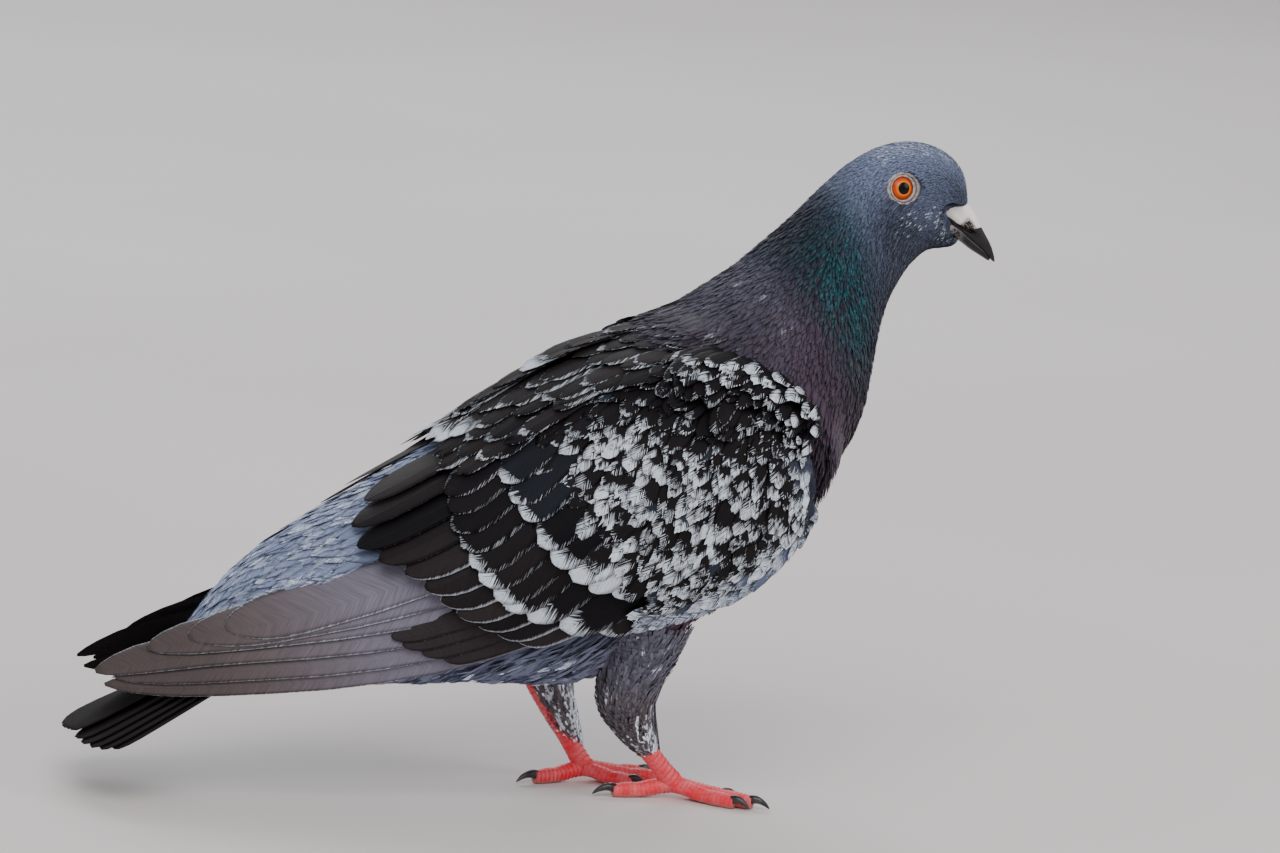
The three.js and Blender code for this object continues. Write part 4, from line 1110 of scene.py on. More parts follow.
def body_coat(
    name, seed, t_range, angle_range, outline, lift, fray=0.04, denser=1.0, longer=1.0, slimmer=1.0, camber=0.15,
    roll=0.1, droop=0.0,
):
    """One part of the body's coat between two stations, on both sides: from the top down to an angle, or from an angle
    down to underneath. Feathers that the wing, the eye or the bill would hide are left out."""
    coat = Coat(name, seed, (t_range, (-math.pi, math.pi)))
    rng = coat.rng
    scale = bpy.context.scene.pigeon_sizes.feather_scale * longer
    upper, lower = angle_range
    span = (upper, FULL_TURN - upper) if upper > 0 else (-lower, lower)
    t, angle = roots(
        body, t_range, span, lambda u: coat_size(u, STEP_ALONG) / denser,
        lambda u: coat_size(u, STEP_ACROSS) / denser, rng,
    )
    angle = (angle + math.pi) % FULL_TURN - math.pi
    length = coat_size(t, LENGTH) * scale * rng.uniform(0.85, 1.15, len(t))
    low, high = lift(t, angle, rng)
    root = body.place(t, angle, low)
    step = length / np.maximum(np.linalg.norm(body.slopes(t, angle)[0], axis=-1), 0.1)
    tip = body.place(t - step, angle, high)
    middle = (root + tip) / 2
    a = np.abs(angle)
    # A feather's middle may lie 5 mm under the wing: less beside the shoulder, and more below the wing's front.
    shoulder = smooth(a, 0.45, 0.6) * (1 - smooth(a, 1.35, 1.5)) * (t > 7)
    free = wing_cover(middle) < 5 - 3 * shoulder + 10 * smooth(a, 1.5, 1.65) * smooth(t, 7.2, 7.8)
    lid = LID_EDGE + rng.uniform(-0.4, 0.4, len(t))
    for p in (root, middle, tip):
        near, out = from_eye(p)
        free &= ~((near < lid) & (out > 0))
        free &= ~beside_bill(p)
    # Beside the front of the wing the feathers are marked pale and lifted over its edge.
    rim = smooth(wing_cover(tip), -3.5, 0) * bump(t, 8.2, 1.2) * smooth(a, 0.75, 1.0) * (1 - smooth(a, 1.9, 2.2))
    over_wing = bump(wing_cover(tip), 0, 8) * np.maximum(smooth(a, 1.2, 1.7), 1 - smooth(a, 0.4, 0.7))
    high = high + (2.2 + 2.0 * smooth(a, 1.7, 2.2)) * over_wing * (t > 6.5) * (t < 10.5)
    t, angle, length, low, high = (x[free] for x in (t, angle, length, low, high))
    width = coat_size(t, WIDTH) * slimmer * rng.uniform(0.85, 1.15, len(t))
    lean = rng.normal(0, 0.1, len(t)) + 0.25 * np.sin(angle) * smooth(t, 8, 9) * (1 - smooth(t, 12, 13))
    lean = lean + droop * np.sin(angle)
    pigment, tone = body_marks(t, angle, rng, rim[free])

    def marks(p, q, n, rng):
        tones = np.broadcast_to(tone[:, None, None], p.shape + (3,)).copy()
        tones[..., 0] *= 0.75 + 0.35 * p
        tones[..., 1] += 0.12 * (p - 0.5)
        pigments = np.broadcast_to(pigment[:, None, None], p.shape + (3,)).copy()
        pigments[..., 2] *= smooth(p, 0.1, 0.7)
        return pigments, tones

    coat.lay(body, t, angle, lean, length, width, (low, high), marks, outline, 3, camber, fray, roll)
    return coat


def low_high(low, high, spread):
    """Heights of roots and tips against the surface, the tips uneven by spread; on the head all are less than half."""

    def lift(t, angle, rng):
        depth = np.interp(t, [12, 15], [1.0, 0.45])
        return np.full(len(t), float(low)) * depth, high * depth + rng.uniform(-spread, spread, len(t)) * depth

    return lift


def over_the_chin(t, angle, rng):
    """Heights of the head feathers, lifted under the chin to lie over the root of the lower bill."""
    low, high = low_high(-1.4, 0.1, 0.12)(t, angle, rng)
    chin = smooth(t, 15.6, 17.6) * (1 - 0.6 * smooth(t, 18.0, 19.0)) * smooth(np.abs(angle), 2.1, 2.7)
    return low + 0.9 * chin, high + 1.1 * chin


def hanging(t, angle, rng):
    """Heights of the fluff under the belly: its tips hang clear of the body, most along the underside."""
    low = np.full(len(t), -0.6)
    underside = smooth(np.abs(angle), 1.9, 2.6) * (1 - smooth(t, 5.4, 6.6))
    return low, 1.0 + 6.5 * underside + rng.uniform(-1.0, 2.5, len(t))


class PIGEON_OT_body_coat(bpy.types.Operator):
    """Small feathers of the head, neck, breast, back, belly and rump"""

    bl_idname = "pigeon.body_coat"
    bl_label = "Body feathers"

    def execute(self, context):
        fine = plumage("Fine feathers", 0.3, 2.2, 0.7, 0.7, sheen=0.1)
        glossy = plumage("Neck feathers", 0.3, 2.2, 0.7, 0.5, sheen=0.05, metal=0.4)
        short = plumage("Head feathers", 0.25, 2.2, 0.35, 0.7, sheen=0.1, depth=0.12)
        soft = plumage("Rump feathers", 0.35, 2.2, 0.45, 0.75, sheen=0.1)
        under = math.pi
        snug = low_high(-1.7, 0.15, 0.2)
        # Name, seed, stations, angles, outline, heights, material, slot and what is not as usual.
        layers = [
            ("head_feathers", 11, (13.2, 19.2), (0, under), "small", over_the_chin, short, "feather_head",
             {"camber": 0.04, "roll": 0.05, "denser": 1.3, "slimmer": 0.8}),
            ("neck_feathers", 12, (10.2, 13.5), (0, under), "pointed", low_high(-1.6, 0.25, 0.2), glossy, "feather_neck",
             {"camber": 0.1, "denser": 1.15}),
            ("breast_feathers", 13, (5.4, 10.4), (1.15, under), "pointed", snug, glossy, "feather_dark",
             {"camber": 0.07, "denser": 1.3}),
            ("mantle_feathers", 14, (4.2, 10.4), (0, 1.25), "pointed", snug, fine, "feather_dark",
             {"camber": 0.06, "denser": 1.3}),
            ("belly_feathers", 15, (-0.3, 6.4), (1.5, under), "wisp", low_high(-1.8, 0.8, 0.8), fine, "feather_leg",
             {"fray": 0.12, "denser": 1.5, "slimmer": 0.55}),
            ("flank_feathers", 17, (1.6, 6.6), (1.8, under), "wisp", hanging, fine, "feather_leg",
             {"fray": 0.2, "longer": 1.4, "denser": 1.3, "slimmer": 0.55, "droop": 0.5}),
            ("rump_feathers", 16, (0.2, 4.6), (0, 1.6), "pointed", low_high(-1.8, 0.5, 0.4), soft, "feather_rump",
             {"camber": 0.08, "denser": 1.25, "slimmer": 0.8}),
        ]
        for name, seed, stations, angles, outline, lift, material, slot, options in layers:
            body_coat(name, seed, stations, angles, outline, lift, **options).build(material, slot=slot)
        return {"FINISHED"}


# ---- Wings ----
def lean_at(s, v):
    """The way the small wing feathers point, from the wing's axis towards its lower edge, in radians."""
    turn = np.clip(42 - 0.36 * (s - 25), 0, 40) + 10 * (v - 0.5)
    return np.radians(turn * (1 - 0.8 * smooth(v, 0.82, 0.95) * smooth(s, 18, 26)))


def along_line(line, count, rng, jitter=0.0):
    """Points spaced evenly by number along a smooth line of (s, v), each moved by up to the jitter."""
    t = np.linspace(0, len(line) - 1, count) + rng.uniform(-jitter, jitter, count)
    return spline(line)(t)


def fringed(pigment, white_tip, fringe, shade, warm=0.0, edge=0.0, blend=0.08, most=0.95):
    """Dark feathers whose tips turn white from white_tip of the length on, with a pale fringe along both sides and a
    pale edge along the lower one."""

    def marks(p, q, n, rng):
        def per(x):
            return np.broadcast_to(np.asarray(x, float), (n,))[:, None, None]

        tip = smooth(p, per(white_tip) - blend, per(white_tip) + blend) * per(most)
        side = per(fringe) * smooth(np.abs(q), 0.6, 1.0) * smooth(p, 0.2, 0.6)
        under = per(edge) * smooth(q, 0.3, 1.0)
        white = np.clip(np.maximum(np.maximum(tip, side), under), 0, 1)
        tone = np.stack([white, per(shade) + 0.1 * (p - 0.5), per(warm) + 0 * p], -1)
        return np.broadcast_to(pigment, (n, 3))[:, None, None], tone

    return marks


def primaries_with_painted_sheen(reach):
    """Taupe flight feathers that reach so far along the wing: silver-grey inwards, which is a painted sheen, with a
    thin pale edge.
    """

    def marks(p, q, n, rng):
        s = PRIMARY_ROOT + p * (reach[:, None, None] - PRIMARY_ROOT)
        # Painted sheen: lighter, bluer and less brown towards the roots.
        base = 1 - smooth(s, 145, 212)
        edge = 0.55 * smooth(np.abs(q), 0.8, 1.0) * smooth(p, 0.1, 0.4)
        tone = np.stack([edge, 0.3 + 1.3 * base, 0.9 - 0.4 * base], -1)
        return np.stack([0.1 + 0.5 * base, 0 * p, 0 * p], -1), tone

    return marks


# White on the small wing feathers, as soft spots: s, v, reach along s, reach in v, strength.
WHITE_SPOTS = [
    (27.5, 0.21, 6, 0.09, 1.2), (36.5, 0.27, 6, 0.07, 0.75), (23, 0.32, 4.5, 0.1, 1.15), (20, 0.43, 4.5, 0.12, 1.1),
    (18.5, 0.6, 5, 0.17, 1.1), (18.5, 0.8, 6, 0.13, 1.15), (24, 0.87, 6, 0.07, 1.0), (29, 0.9, 7, 0.06, 0.9),
    (37, 0.97, 9, 0.05, 0.75), (49, 0.98, 9, 0.05, 0.7), (63, 0.99, 10, 0.05, 0.7), (77, 1.0, 12, 0.05, 0.7),
    (64, 0.38, 5, 0.06, 0.75), (73, 0.39, 7, 0.07, 1.0), (82, 0.37, 6, 0.07, 0.95), (88, 0.38, 5, 0.06, 0.7),
    (64.7, 0.48, 4.5, 0.05, 0.8), (62.8, 0.57, 4.5, 0.05, 0.8), (54.4, 0.55, 4, 0.05, 0.8), (52.5, 0.64, 5, 0.06, 0.85),
    (43, 0.64, 4, 0.06, 0.75), (42.6, 0.76, 5, 0.06, 0.85), (32.7, 0.69, 5, 0.07, 0.75), (71, 0.57, 5, 0.05, 0.8),
    (79, 0.53, 5, 0.05, 0.8), (84, 0.6, 4, 0.05, 0.7), (69, 0.67, 5, 0.05, 0.8), (60, 0.73, 5, 0.05, 0.7),
    (68.5, 0.85, 8, 0.05, 1.0), (57.8, 0.81, 6, 0.05, 1.0), (81.8, 0.77, 8, 0.05, 1.0), (47, 0.86, 3, 0.03, 0.5),
    (33, 0.5, 5, 0.05, 0.4), (47, 0.4, 4, 0.04, 0.35), (56, 0.27, 4, 0.03, 0.35), (33, 0.8, 4, 0.04, 0.5),
]


def white_at(s, v):
    """How white the small wing feathers are at s, v: the strongest of the soft spots."""
    spots = np.array(WHITE_SPOTS)[:, :, None]
    d = ((s - spots[:, 0]) / spots[:, 2]) ** 2 + ((v - spots[:, 1]) / spots[:, 3]) ** 2
    return (spots[:, 4] * np.exp(-0.7 * d)).max(0)


BLACK = np.zeros(3)  # no pigment but the dark one
MAP_V = (-0.2, 1.2)  # the span of v on the wings' maps


def flight_feathers(name, near, rng):
    """Outer and inner flight feathers of one wing, and the grey covers of the outer ones. The near wing's outer
    feathers carry a painted sheen, silver-grey towards their roots; the far wing's are painted dark, as if in shade."""
    coat = Coat(f"flight_{name}", 22, ((80, 240), MAP_V))

    # Outer flight feathers, the longest lowest.
    tips = np.array(PRIMARY_TIPS, float)
    n = len(tips)
    base = np.stack([np.full(n, PRIMARY_ROOT), [0.95, 0.88, 0.78, 0.62, 0.45, 0.27]], -1)
    width = np.array([8.5, 9.5, 11, 12.5, 14, 15.5])
    rise = (np.full(n, 230.0), 0.2 + 0.35 * np.arange(n), 0.012)
    # Painted light: the near wing's outer feathers get a painted sheen, and the far wing's are painted darker, as in
    # shade.
    marks = primaries_with_painted_sheen(tips[:, 0]) if near else fringed(BLACK, 1.5, 0.3, 0.1, 0.3)
    coat.vanes(hand, base, tips, width, rise, 0.15, marks, "long", 9, shaft=0.3, mirror=near)
    # Covers of the outer flight feathers, grey.
    n = 4
    tips = along_line([(138, 0.93), (146, 0.82), (150, 0.7)], n, rng)
    base = np.stack([np.full(n, 108.0), np.linspace(0.9, 0.66, n)], -1)
    rise = (np.full(n, 150.0), np.full(n, 1.1), 0.01)
    marks = fringed(np.array([0.05, 0, 0]), 1.5, 0.42, 0.2, 0.35)
    coat.vanes(hand, base, tips, np.full(n, 6.5), rise, 0.12, marks, "long", 7, shaft=0.3, mirror=near)
    # Inner flight feathers.
    tips = np.array(SECONDARY_TIPS, float)
    n = len(tips)
    base = np.stack([np.full(n, 72.0), 0.88 - 0.11 * (np.arange(n) * 7 / (n - 1))], -1)
    rise = (np.full(n, 145.0), np.full(n, 0.2), 0.05)
    fringe = np.where(np.arange(n) < 7, 0.62, 0.4)
    shade = rng.uniform(0.42, 0.56, n)
    marks = fringed(BLACK, 1.02, fringe, shade, rng.uniform(0, 0.25, n))
    coat.vanes(arm, base, tips, np.full(n, 13.0), rise, 0.14, marks, "long", 9, shaft=0.25, mirror=near, fray=0.3)
    material = plumage("Flight feathers", 0.32, 0.9, 0.35, 0.5, depth=0.3)
    coat.build(material, replaces=(f"wing_{name}",), slot="feather_flight")


def covert_row(coat, near, tips, length, width, rise, roll, marks, turn=None, fray=0.8):
    """A row of broad feathers from their tips, each of the row's length and width. They lean as the small wing
    feathers do, or by turn in degrees. Their rise starts from their own tips where its first value is None."""
    s, v = tips[:, 0], tips[:, 1]
    n = len(s)
    lean = lean_at(s - length / 2, v) if turn is None else np.full(n, math.radians(turn))
    base = np.stack([s - length * np.cos(lean), v - length * np.sin(lean) / arm.breadth(s, v)], -1)
    at, height, climb = rise
    rise = (s if at is None else np.full(n, float(at)), np.full(n, float(height)), climb)
    width = np.full(n, float(width))
    coat.vanes(arm, base, tips, width, rise, roll, marks, "broad", 7, 0.1, 0.06, near, fray)


def large_coverts(coat, near):
    """Great and middle coverts of one wing: black, with a white fringe across their tips."""
    rng = coat.rng
    tips = along_line(GREATER_LINE, 12, rng, 0.08)
    n = len(tips)
    white = np.array([1.02, 0.94, 0.88, 0.85, 0.86, 0.88, 0.9, 0.94, 0.98, 1.03, 1.05, 1.06])
    white = white + rng.uniform(-0.02, 0.02, n)
    shade = rng.uniform(0.4, 0.6, n)
    marks = fringed(BLACK, white, 0.33, shade, rng.uniform(0, 0.12, n), blend=0.07)
    covert_row(coat, near, tips, 34, 13, (124, 1.5, 0.075), 0.1, marks)
    tips = along_line(MEDIAN_LINE, 11, rng, 0.1)
    n = len(tips)
    white = np.array([0.0, 0.0, 0.3, 0.78, 0.84, 0.88, 0.95, 0.93, 0.94, 0.95, 0.97])
    white = white + rng.uniform(-0.02, 0.02, n)
    blue = np.zeros((n, 3))
    blue[6:9] = (0.05, 0, 0.03)
    marks = fringed(blue, white, 0.3, rng.uniform(0.4, 0.6, n), blend=0.1)
    covert_row(coat, near, tips, 26, 11.5, (105, 1.6, 0.08), 0.08, marks)


# Where the tips of the small coverts end, just under the middle coverts: v, then s.
SMALL_COVERTS_END = ([0, 0.13, 0.39, 0.67, 0.8, 0.9, 1], [98, 102, 102, 95, 82, 74, 92])


def small_coverts(coat, near):
    """Small coverts of one wing, in overlapping rows over the rest of the arm: dark with white spots, grey along the
    lower edge and the front."""
    rng = coat.rng
    reaches = [8, 30, 90]
    s, v = roots(
        arm, (14.5, 94), (0.0, 1.0), lambda u: np.interp(u, reaches, [2.4, 3.8, 4.8]),
        lambda u: np.interp(u, reaches, [1.5, 2.1, 2.6]), rng,
    )
    length = np.interp(s, reaches, [8.5, 13.5, 17]) * rng.uniform(0.85, 1.15, len(s))
    keep = s + 0.85 * length < np.interp(v, *SMALL_COVERTS_END) + 2
    keep &= s > 14.5 + 4.5 * smooth(v, 0.6, 0.85)
    s, v, length = s[keep], v[keep], length[keep]
    n = len(s)
    turn = lean_at(s, v)
    tip_s, tip_v = s + 0.75 * length * np.cos(turn), v + 0.75 * length * np.sin(turn) / arm.breadth(s, v)
    white = white_at(tip_s, np.minimum(tip_v, 1)) * rng.uniform(0.7, 1.2, n)
    mottled = smooth(v, 0.3, 0.5) * smooth(s, 22, 32) * 0.3
    white_from = 1.14 - 0.38 * white - np.where(rng.random(n) < mottled, 0.12, 0)
    luck = rng.random(n)
    margin = smooth(v, 0.93, 0.98) * smooth(s, 16, 22)
    front = (1 - smooth(s, 17, 23)) * smooth(v, 0.45, 0.65)
    blue = (rng.random(n) < 0.06) & (s > 40)
    slate = np.where(blue, 0.12, 0.0) + 0.9 * margin + 0.5 * front
    pigment = np.stack([slate, 0 * s, np.where(blue, 0.08, 0)], -1)
    white_from = white_from * (1 - margin) + margin * rng.uniform(0.5, 1.0, n)
    most = 0.95 - 0.55 * margin * rng.uniform(0.7, 1.1, n)
    slim = (0.36 - 0.08 * margin) * rng.uniform(0.85, 1.15, n)
    # Roots sink into the flesh at the front, and the feathers at the top of the front stand over the back's.
    low = -1.2 - 3.4 * (1 - smooth(s, 15, 23)) * smooth(v, 0.35, 0.5)
    over = 5.5 * smooth(v, 0.06, 0.17) * (1 - smooth(v, 0.2, 0.45)) * (1 - smooth(s, 32, 46))
    lean = turn + rng.normal(0, 0.1, n)
    lift = (low + over, over + rng.uniform(0.4, 1.1, n))
    shade = rng.uniform(0.35, 0.65, n) + 0.05 * margin
    marks = fringed(pigment, white_from, np.where(luck < 0.3, 0.4, 0.1), shade, 0.04, blend=0.27, most=most)
    coat.lay(
        arm, s, v, lean, length, length * slim, lift, marks, "frayed", 7, 0.07, 0.13, 0.05, near, limits=(0.0, 1.0)
    )


def scapulars(coat, near):
    """Feathers over the top of one wing, in rows from the rear forward, with thin white streaks."""
    rng = coat.rng
    rows = []
    for reach in (117, 110, 102, 94, 86, 78, 70, 62, 54, 46):
        for v in np.arange(-0.03, 0.24, 0.055):
            rows.append((reach + rng.uniform(-3, 3), v + rng.uniform(-0.02, 0.02)))
    tips = np.array(rows)
    n = len(tips)
    streak = rng.random(n)
    ridge = (tips[:, 1] < 0.06) & (tips[:, 0] > 80)
    edge = np.where((streak < 0.45) | ridge, 0.56, 0.0)
    white_tip = np.where(streak > 0.8, 0.97, np.where(ridge & (streak > 0.5), 0.75, 1.6))
    warm = rng.uniform(0, 0.15, n)
    marks = fringed(BLACK, white_tip, 0.3, rng.uniform(0.4, 0.6, n), warm, edge, 0.12)
    covert_row(coat, near, tips, 24, 7.5, (None, 2.0, 0.07), 0.05, marks, turn=4, fray=1.6)


def wing_pieces(name, side):
    """All feathers of one wing. The near wing is the one on the side of -Y, and is the other one mirrored."""
    near = side < 0
    coat = Coat(f"coverts_{name}", 21, ((0, 130), MAP_V))
    flight_feathers(name, near, coat.rng)
    large_coverts(coat, near)
    small_coverts(coat, near)
    scapulars(coat, near)
    material = plumage("Covert feathers", 0.34, 1.9, 3.1, 0.6, depth=0.3)
    coat.build(material, replaces=(f"wing_{name}",), slot="feather_dark")


class PIGEON_OT_wings(bpy.types.Operator):
    """Coverts and flight feathers of both folded wings"""

    bl_idname = "pigeon.wings"
    bl_label = "Wings"

    def execute(self, context):
        for name, side in SIDES.items():
            wing_pieces(name, side)
        return {"FINISHED"}


# ---- Tail ----
TAIL_WIDTH = 12.6  # of one feather


class PIGEON_OT_tail(bpy.types.Operator):
    """Twelve tail feathers in two stacks, and the coverts over their roots"""

    bl_idname = "pigeon.tail"
    bl_label = "Tail"

    def execute(self, context):
        coat = Coat("tail_feathers", 31, ((0, 100), (-40, 40)))
        rng = coat.rng
        stations, profile = (np.array(a) for a in OUTLINES["blunt"])
        q = np.linspace(-1, 1, 9)
        for side in (-1, 1):
            for i, (tip_y, length) in enumerate(TAIL_FAN):
                layer = 0 if i == 0 and side < 0 else i + 1
                root_y = 0.8 * (i + 1)
                middle = root_y + (tip_y - root_y) * stations
                half = profile * TAIL_WIDTH / 2
                y = side * (middle[:, None] + q[None, :] * half[:, None])
                ragged = rng.uniform(-0.4, 0.2, (len(stations), len(q))) * smooth(stations, 0.8, 1)[:, None]
                d = length * stations[:, None] + 0 * q[None, :] + ragged
                rise = -0.8 * layer + 0.35 * (1 - q[None, :] ** 2) + TAIL_DROOP * y**2 - 0.05
                points = tail_top.place(d, y, rise)[None]
                x = (q[None, :] * half[:, None] * side)[None]
                if side < 0:
                    points, x = points[:, :, ::-1], x[:, :, ::-1]
                # The outermost feathers have a pale patch near the root.
                pale = smooth(d, 12, 30) * (1 - smooth(d, 40, 55)) * (0.55 if i == 5 else 0)
                white = 0.25 * smooth(np.abs(q), 0.8, 1)[None, :] + pale
                tone = np.stack([white, -0.15 + 0 * y, 0.3 + 0 * y], -1)[None]
                place = (np.array([length * 0.5]), np.array([side * middle[5]]))
                coat.grow(points, x, d[None] + 0 * x, place, BLACK, tone)
        # Coverts over the roots, pale grey and dark mixed.
        n = 70
        d, y = rng.uniform(-16, 16, n), rng.uniform(-13, 13, n)
        white = np.where(rng.random(n) < 0.6, 0.7, 0.15)
        marks = fringed(np.array([0.4, 0, 0]), 0.75 - 0.4 * white, white * 0.8, 0.5, 0)
        length = rng.uniform(20, 27, n)
        lift = (np.full(n, 0.3), rng.uniform(1.2, 2.0, n))
        coat.lay(tail_top, d, y, 0.012 * y, length, np.full(n, 8.5), lift, marks, "round", 5, 0.1, 0.05, 0.04)
        coat.build(plumage("Tail feathers", 0.35, 0.9, 0.35, 0.7, depth=0.3), replaces=("tail",), slot="feather_flight")
        return {"FINISHED"}


# ---- Legs ----
class PIGEON_OT_thighs(bpy.types.Operator):
    """Downy feathers of both thighs"""

    bl_idname = "pigeon.thighs"
    bl_label = "Thigh feathers"

    def execute(self, context):
        fine = plumage("Fine feathers", 0.3, 2.2, 0.7, 0.7, sheen=0.1)
        for name, leg in LEGS.items():
            thigh = Surface(tube_flat(leg["coat"]), 1, TUBE_STEPS)
            coat = Coat(f"thigh_feathers_{name}", 41, ((0, 7), (-math.pi, math.pi)))
            rng = coat.rng
            t, angle = roots(
                thigh, (0.1, 6.0), (-math.pi, math.pi), lambda u: np.interp(u, [0, 6], [1.7, 0.9]),
                lambda u: np.interp(u, [0, 6], [1.3, 0.8]), rng,
            )
            n = len(t)
            low = t / 6
            length = np.interp(t, [0, 3, 6], [15, 12, 7]) * rng.uniform(0.6, 1.4, n)
            front = smooth(np.sin(angle), -0.5, 0.6)
            cream = smooth(t, *((0.4, 2.4) if name == "left" else (2.6, 4.8))) * (0.35 + 0.65 * front)
            white = np.where(rng.random(n) < 0.12 + 0.83 * cream, rng.uniform(0.5, 1.2, n) + 0.55 * cream, 0.0)
            loose = np.where(rng.random(n) < 0.2, 2.5, 0.0) * (1 - 0.6 * low)
            pigment = np.stack([0.75 - 0.35 * low, 0 * t, 0 * t], -1)
            lean = rng.normal(0, 0.26, n)
            width = np.interp(t, [0, 6], [1.3, 0.8]) * rng.uniform(0.8, 1.2, n)
            lift = (np.full(n, -1.0) * (1 - 0.6 * low), loose + rng.uniform(0.0, 2.4, n) * (1 - 0.55 * low))
            shade = rng.uniform(0.5, 1.5, n)
            marks = fringed(pigment, 1.2 - white, white * 0.5, shade, 0.45 + 0.3 * smooth(t, 1, 3), blend=0.3)
            coat.lay(thigh, t, angle, lean, length, width, lift, marks, "wisp", 3, 0.1, 0.3, 0.15)
            coat.build(fine, slot="feather_leg")
        return {"FINISHED"}


def scuted_tube(rows, rings, count, plate, depth):
    """A tube whose skin swells in plates: rings repeat along the path, deepest on the upper front, with soft creases
    between. Also gives how deep the crease is at each point."""
    at = spline(rows)
    t = np.linspace(0, len(rows) - 1, rings)
    centre = at(t)
    reach = np.concatenate([[0], np.cumsum(np.linalg.norm(np.diff(centre[:, :3], axis=0), axis=-1))])
    angle = around(count)
    surface = Surface(tube_flat(rows), 1, TUBE_STEPS)
    phase = (reach[:, None] / plate + 0.12 * np.sin(3 * angle)[None, :]) % 1
    crease = 1 - smooth(np.minimum(phase, 1 - phase), 0.0, 0.22)
    facing = 0.35 + 0.65 * smooth(np.cos(angle - math.pi / 2), -0.2, 0.7)[None, :]
    points = surface.place(t[:, None], angle[None, :], -depth * crease * facing)
    return points, crease * facing


def along_toe(foot, bearing, d, z, r):
    """Centre and radius of a toe's or claw's ring, at a distance from the toes' root along a bearing."""
    return foot[0] + d * math.cos(bearing), foot[1] + d * math.sin(bearing), z, r


# Rings by fraction of the way. Shank: radius. Toe: height, swelling of the knuckle. Claw: height, radius.
SHANK_RINGS = ((0.02, 3.4), (0.3, 3.3), (0.6, 2.75), (0.85, 2.7), (1, 3.1))
TOE_RINGS = (
    (-0.06, 4.2, 0.9), (0.22, 3.4, 0.25), (0.42, 2.7, 0.3), (0.6, 2.2, 0.02), (0.74, 2.15, 0.2), (0.9, 1.95, -0.1),
    (1.02, 1.85, -0.5),
)
CLAW_RINGS = (
    (0, 2.3, 1.45), (0.25, 2.9, 1.35), (0.5, 2.8, 1.05), (0.75, 2.1, 0.7), (0.93, 1.2, 0.36), (1, 0.8, 0.12),
)


class PIGEON_OT_feet(bpy.types.Operator):
    """Scaly shanks and toes, and curved claws"""

    bl_idname = "pigeon.feet"
    bl_label = "Legs and feet"

    def execute(self, context):
        for name, leg in LEGS.items():
            foot = leg["foot"]
            hock = np.array(leg["hock"], float)
            low = np.array([*foot, FOOT_HIGH])
            rows = [(*(hock + (low - hock) * k), r) for k, r in SHANK_RINGS]
            # Rows, rings, points in a ring, millimetres a plate and depth of the creases.
            tubes = [(rows, 90, 28, 1.7, 0.26)]
            claws = []
            for (radius, claw), (bearing, length) in zip(TOES, leg["toes"]):
                turn = math.radians(bearing)
                rows = [along_toe(foot, turn, k * length, z, radius + r * 0.6) for k, z, r in TOE_RINGS]
                tubes.append((rows, 84, 22, 1.35, 0.24))
                start = length - 0.9
                rows = [along_toe(foot, turn, start + (claw + 0.3) * k, z, r) for k, z, r in CLAW_RINGS]
                t = np.linspace(0, len(rows) - 1, 26)[:, None]
                claws.append(above_floor(tube_flat(rows)(t, around(16)[None, :])))
            grids, masks = [], []
            for tube in tubes:
                grid, crease = scuted_tube(*tube)
                grids.append(above_floor(grid))
                pad = smooth(-grid[..., 2], -1.2, -0.3)
                masks.append(np.stack([crease, pad, 0 * pad], -1).reshape(-1, 3))
            points, faces = closed_tubes(grids)
            make_piece(
                f"leg_{name}", points, faces, marks={"mask": np.concatenate(masks)},
                replaces=(f"shank_{name}", f"foot_{name}"), material=scaly_skin(),
            )
            points, faces = closed_tubes(claws)
            make_piece(
                f"claws_{name}", points, faces, marks={"mask": np.zeros(points.shape)},
                replaces=tuple(f"claw_{name}_{i + 1}" for i in range(4)),
                material=horn("Claw horn", rgb("26262b"), rgb("4a4548"), 0.35, 0.4, 300.0),
            )
        return {"FINISHED"}


# ---- Head ----
# Section of the bare ring about the eye: radius from the eye's axis and distance out along it, with two folds.
LID_PROFILE = np.array([
    (3.36, 2.8), (3.34, 3.3), (3.42, 3.6), (3.56, 3.76), (3.74, 3.8), (3.92, 3.68), (4.06, 3.64), (4.22, 3.76),
    (4.42, 3.86), (4.62, 3.8), (4.84, 3.6), (5.12, 3.15), (5.3, 2.4), (4.9, 1.9), (4.2, 2.0), (3.7, 2.3),
])
OFF_IRIS = 9  # the iris mask's radius on the back of the ball, past every ring of colour


def about_eye(frame, radius, out, turn):
    """Points at a distance out along an eye's axis and a radius from it, at an angle round it."""
    centre, axis, fore, high = frame
    square = np.cos(turn)[..., None] * fore + np.sin(turn)[..., None] * high
    return centre + out[..., None] * axis + radius[..., None] * square


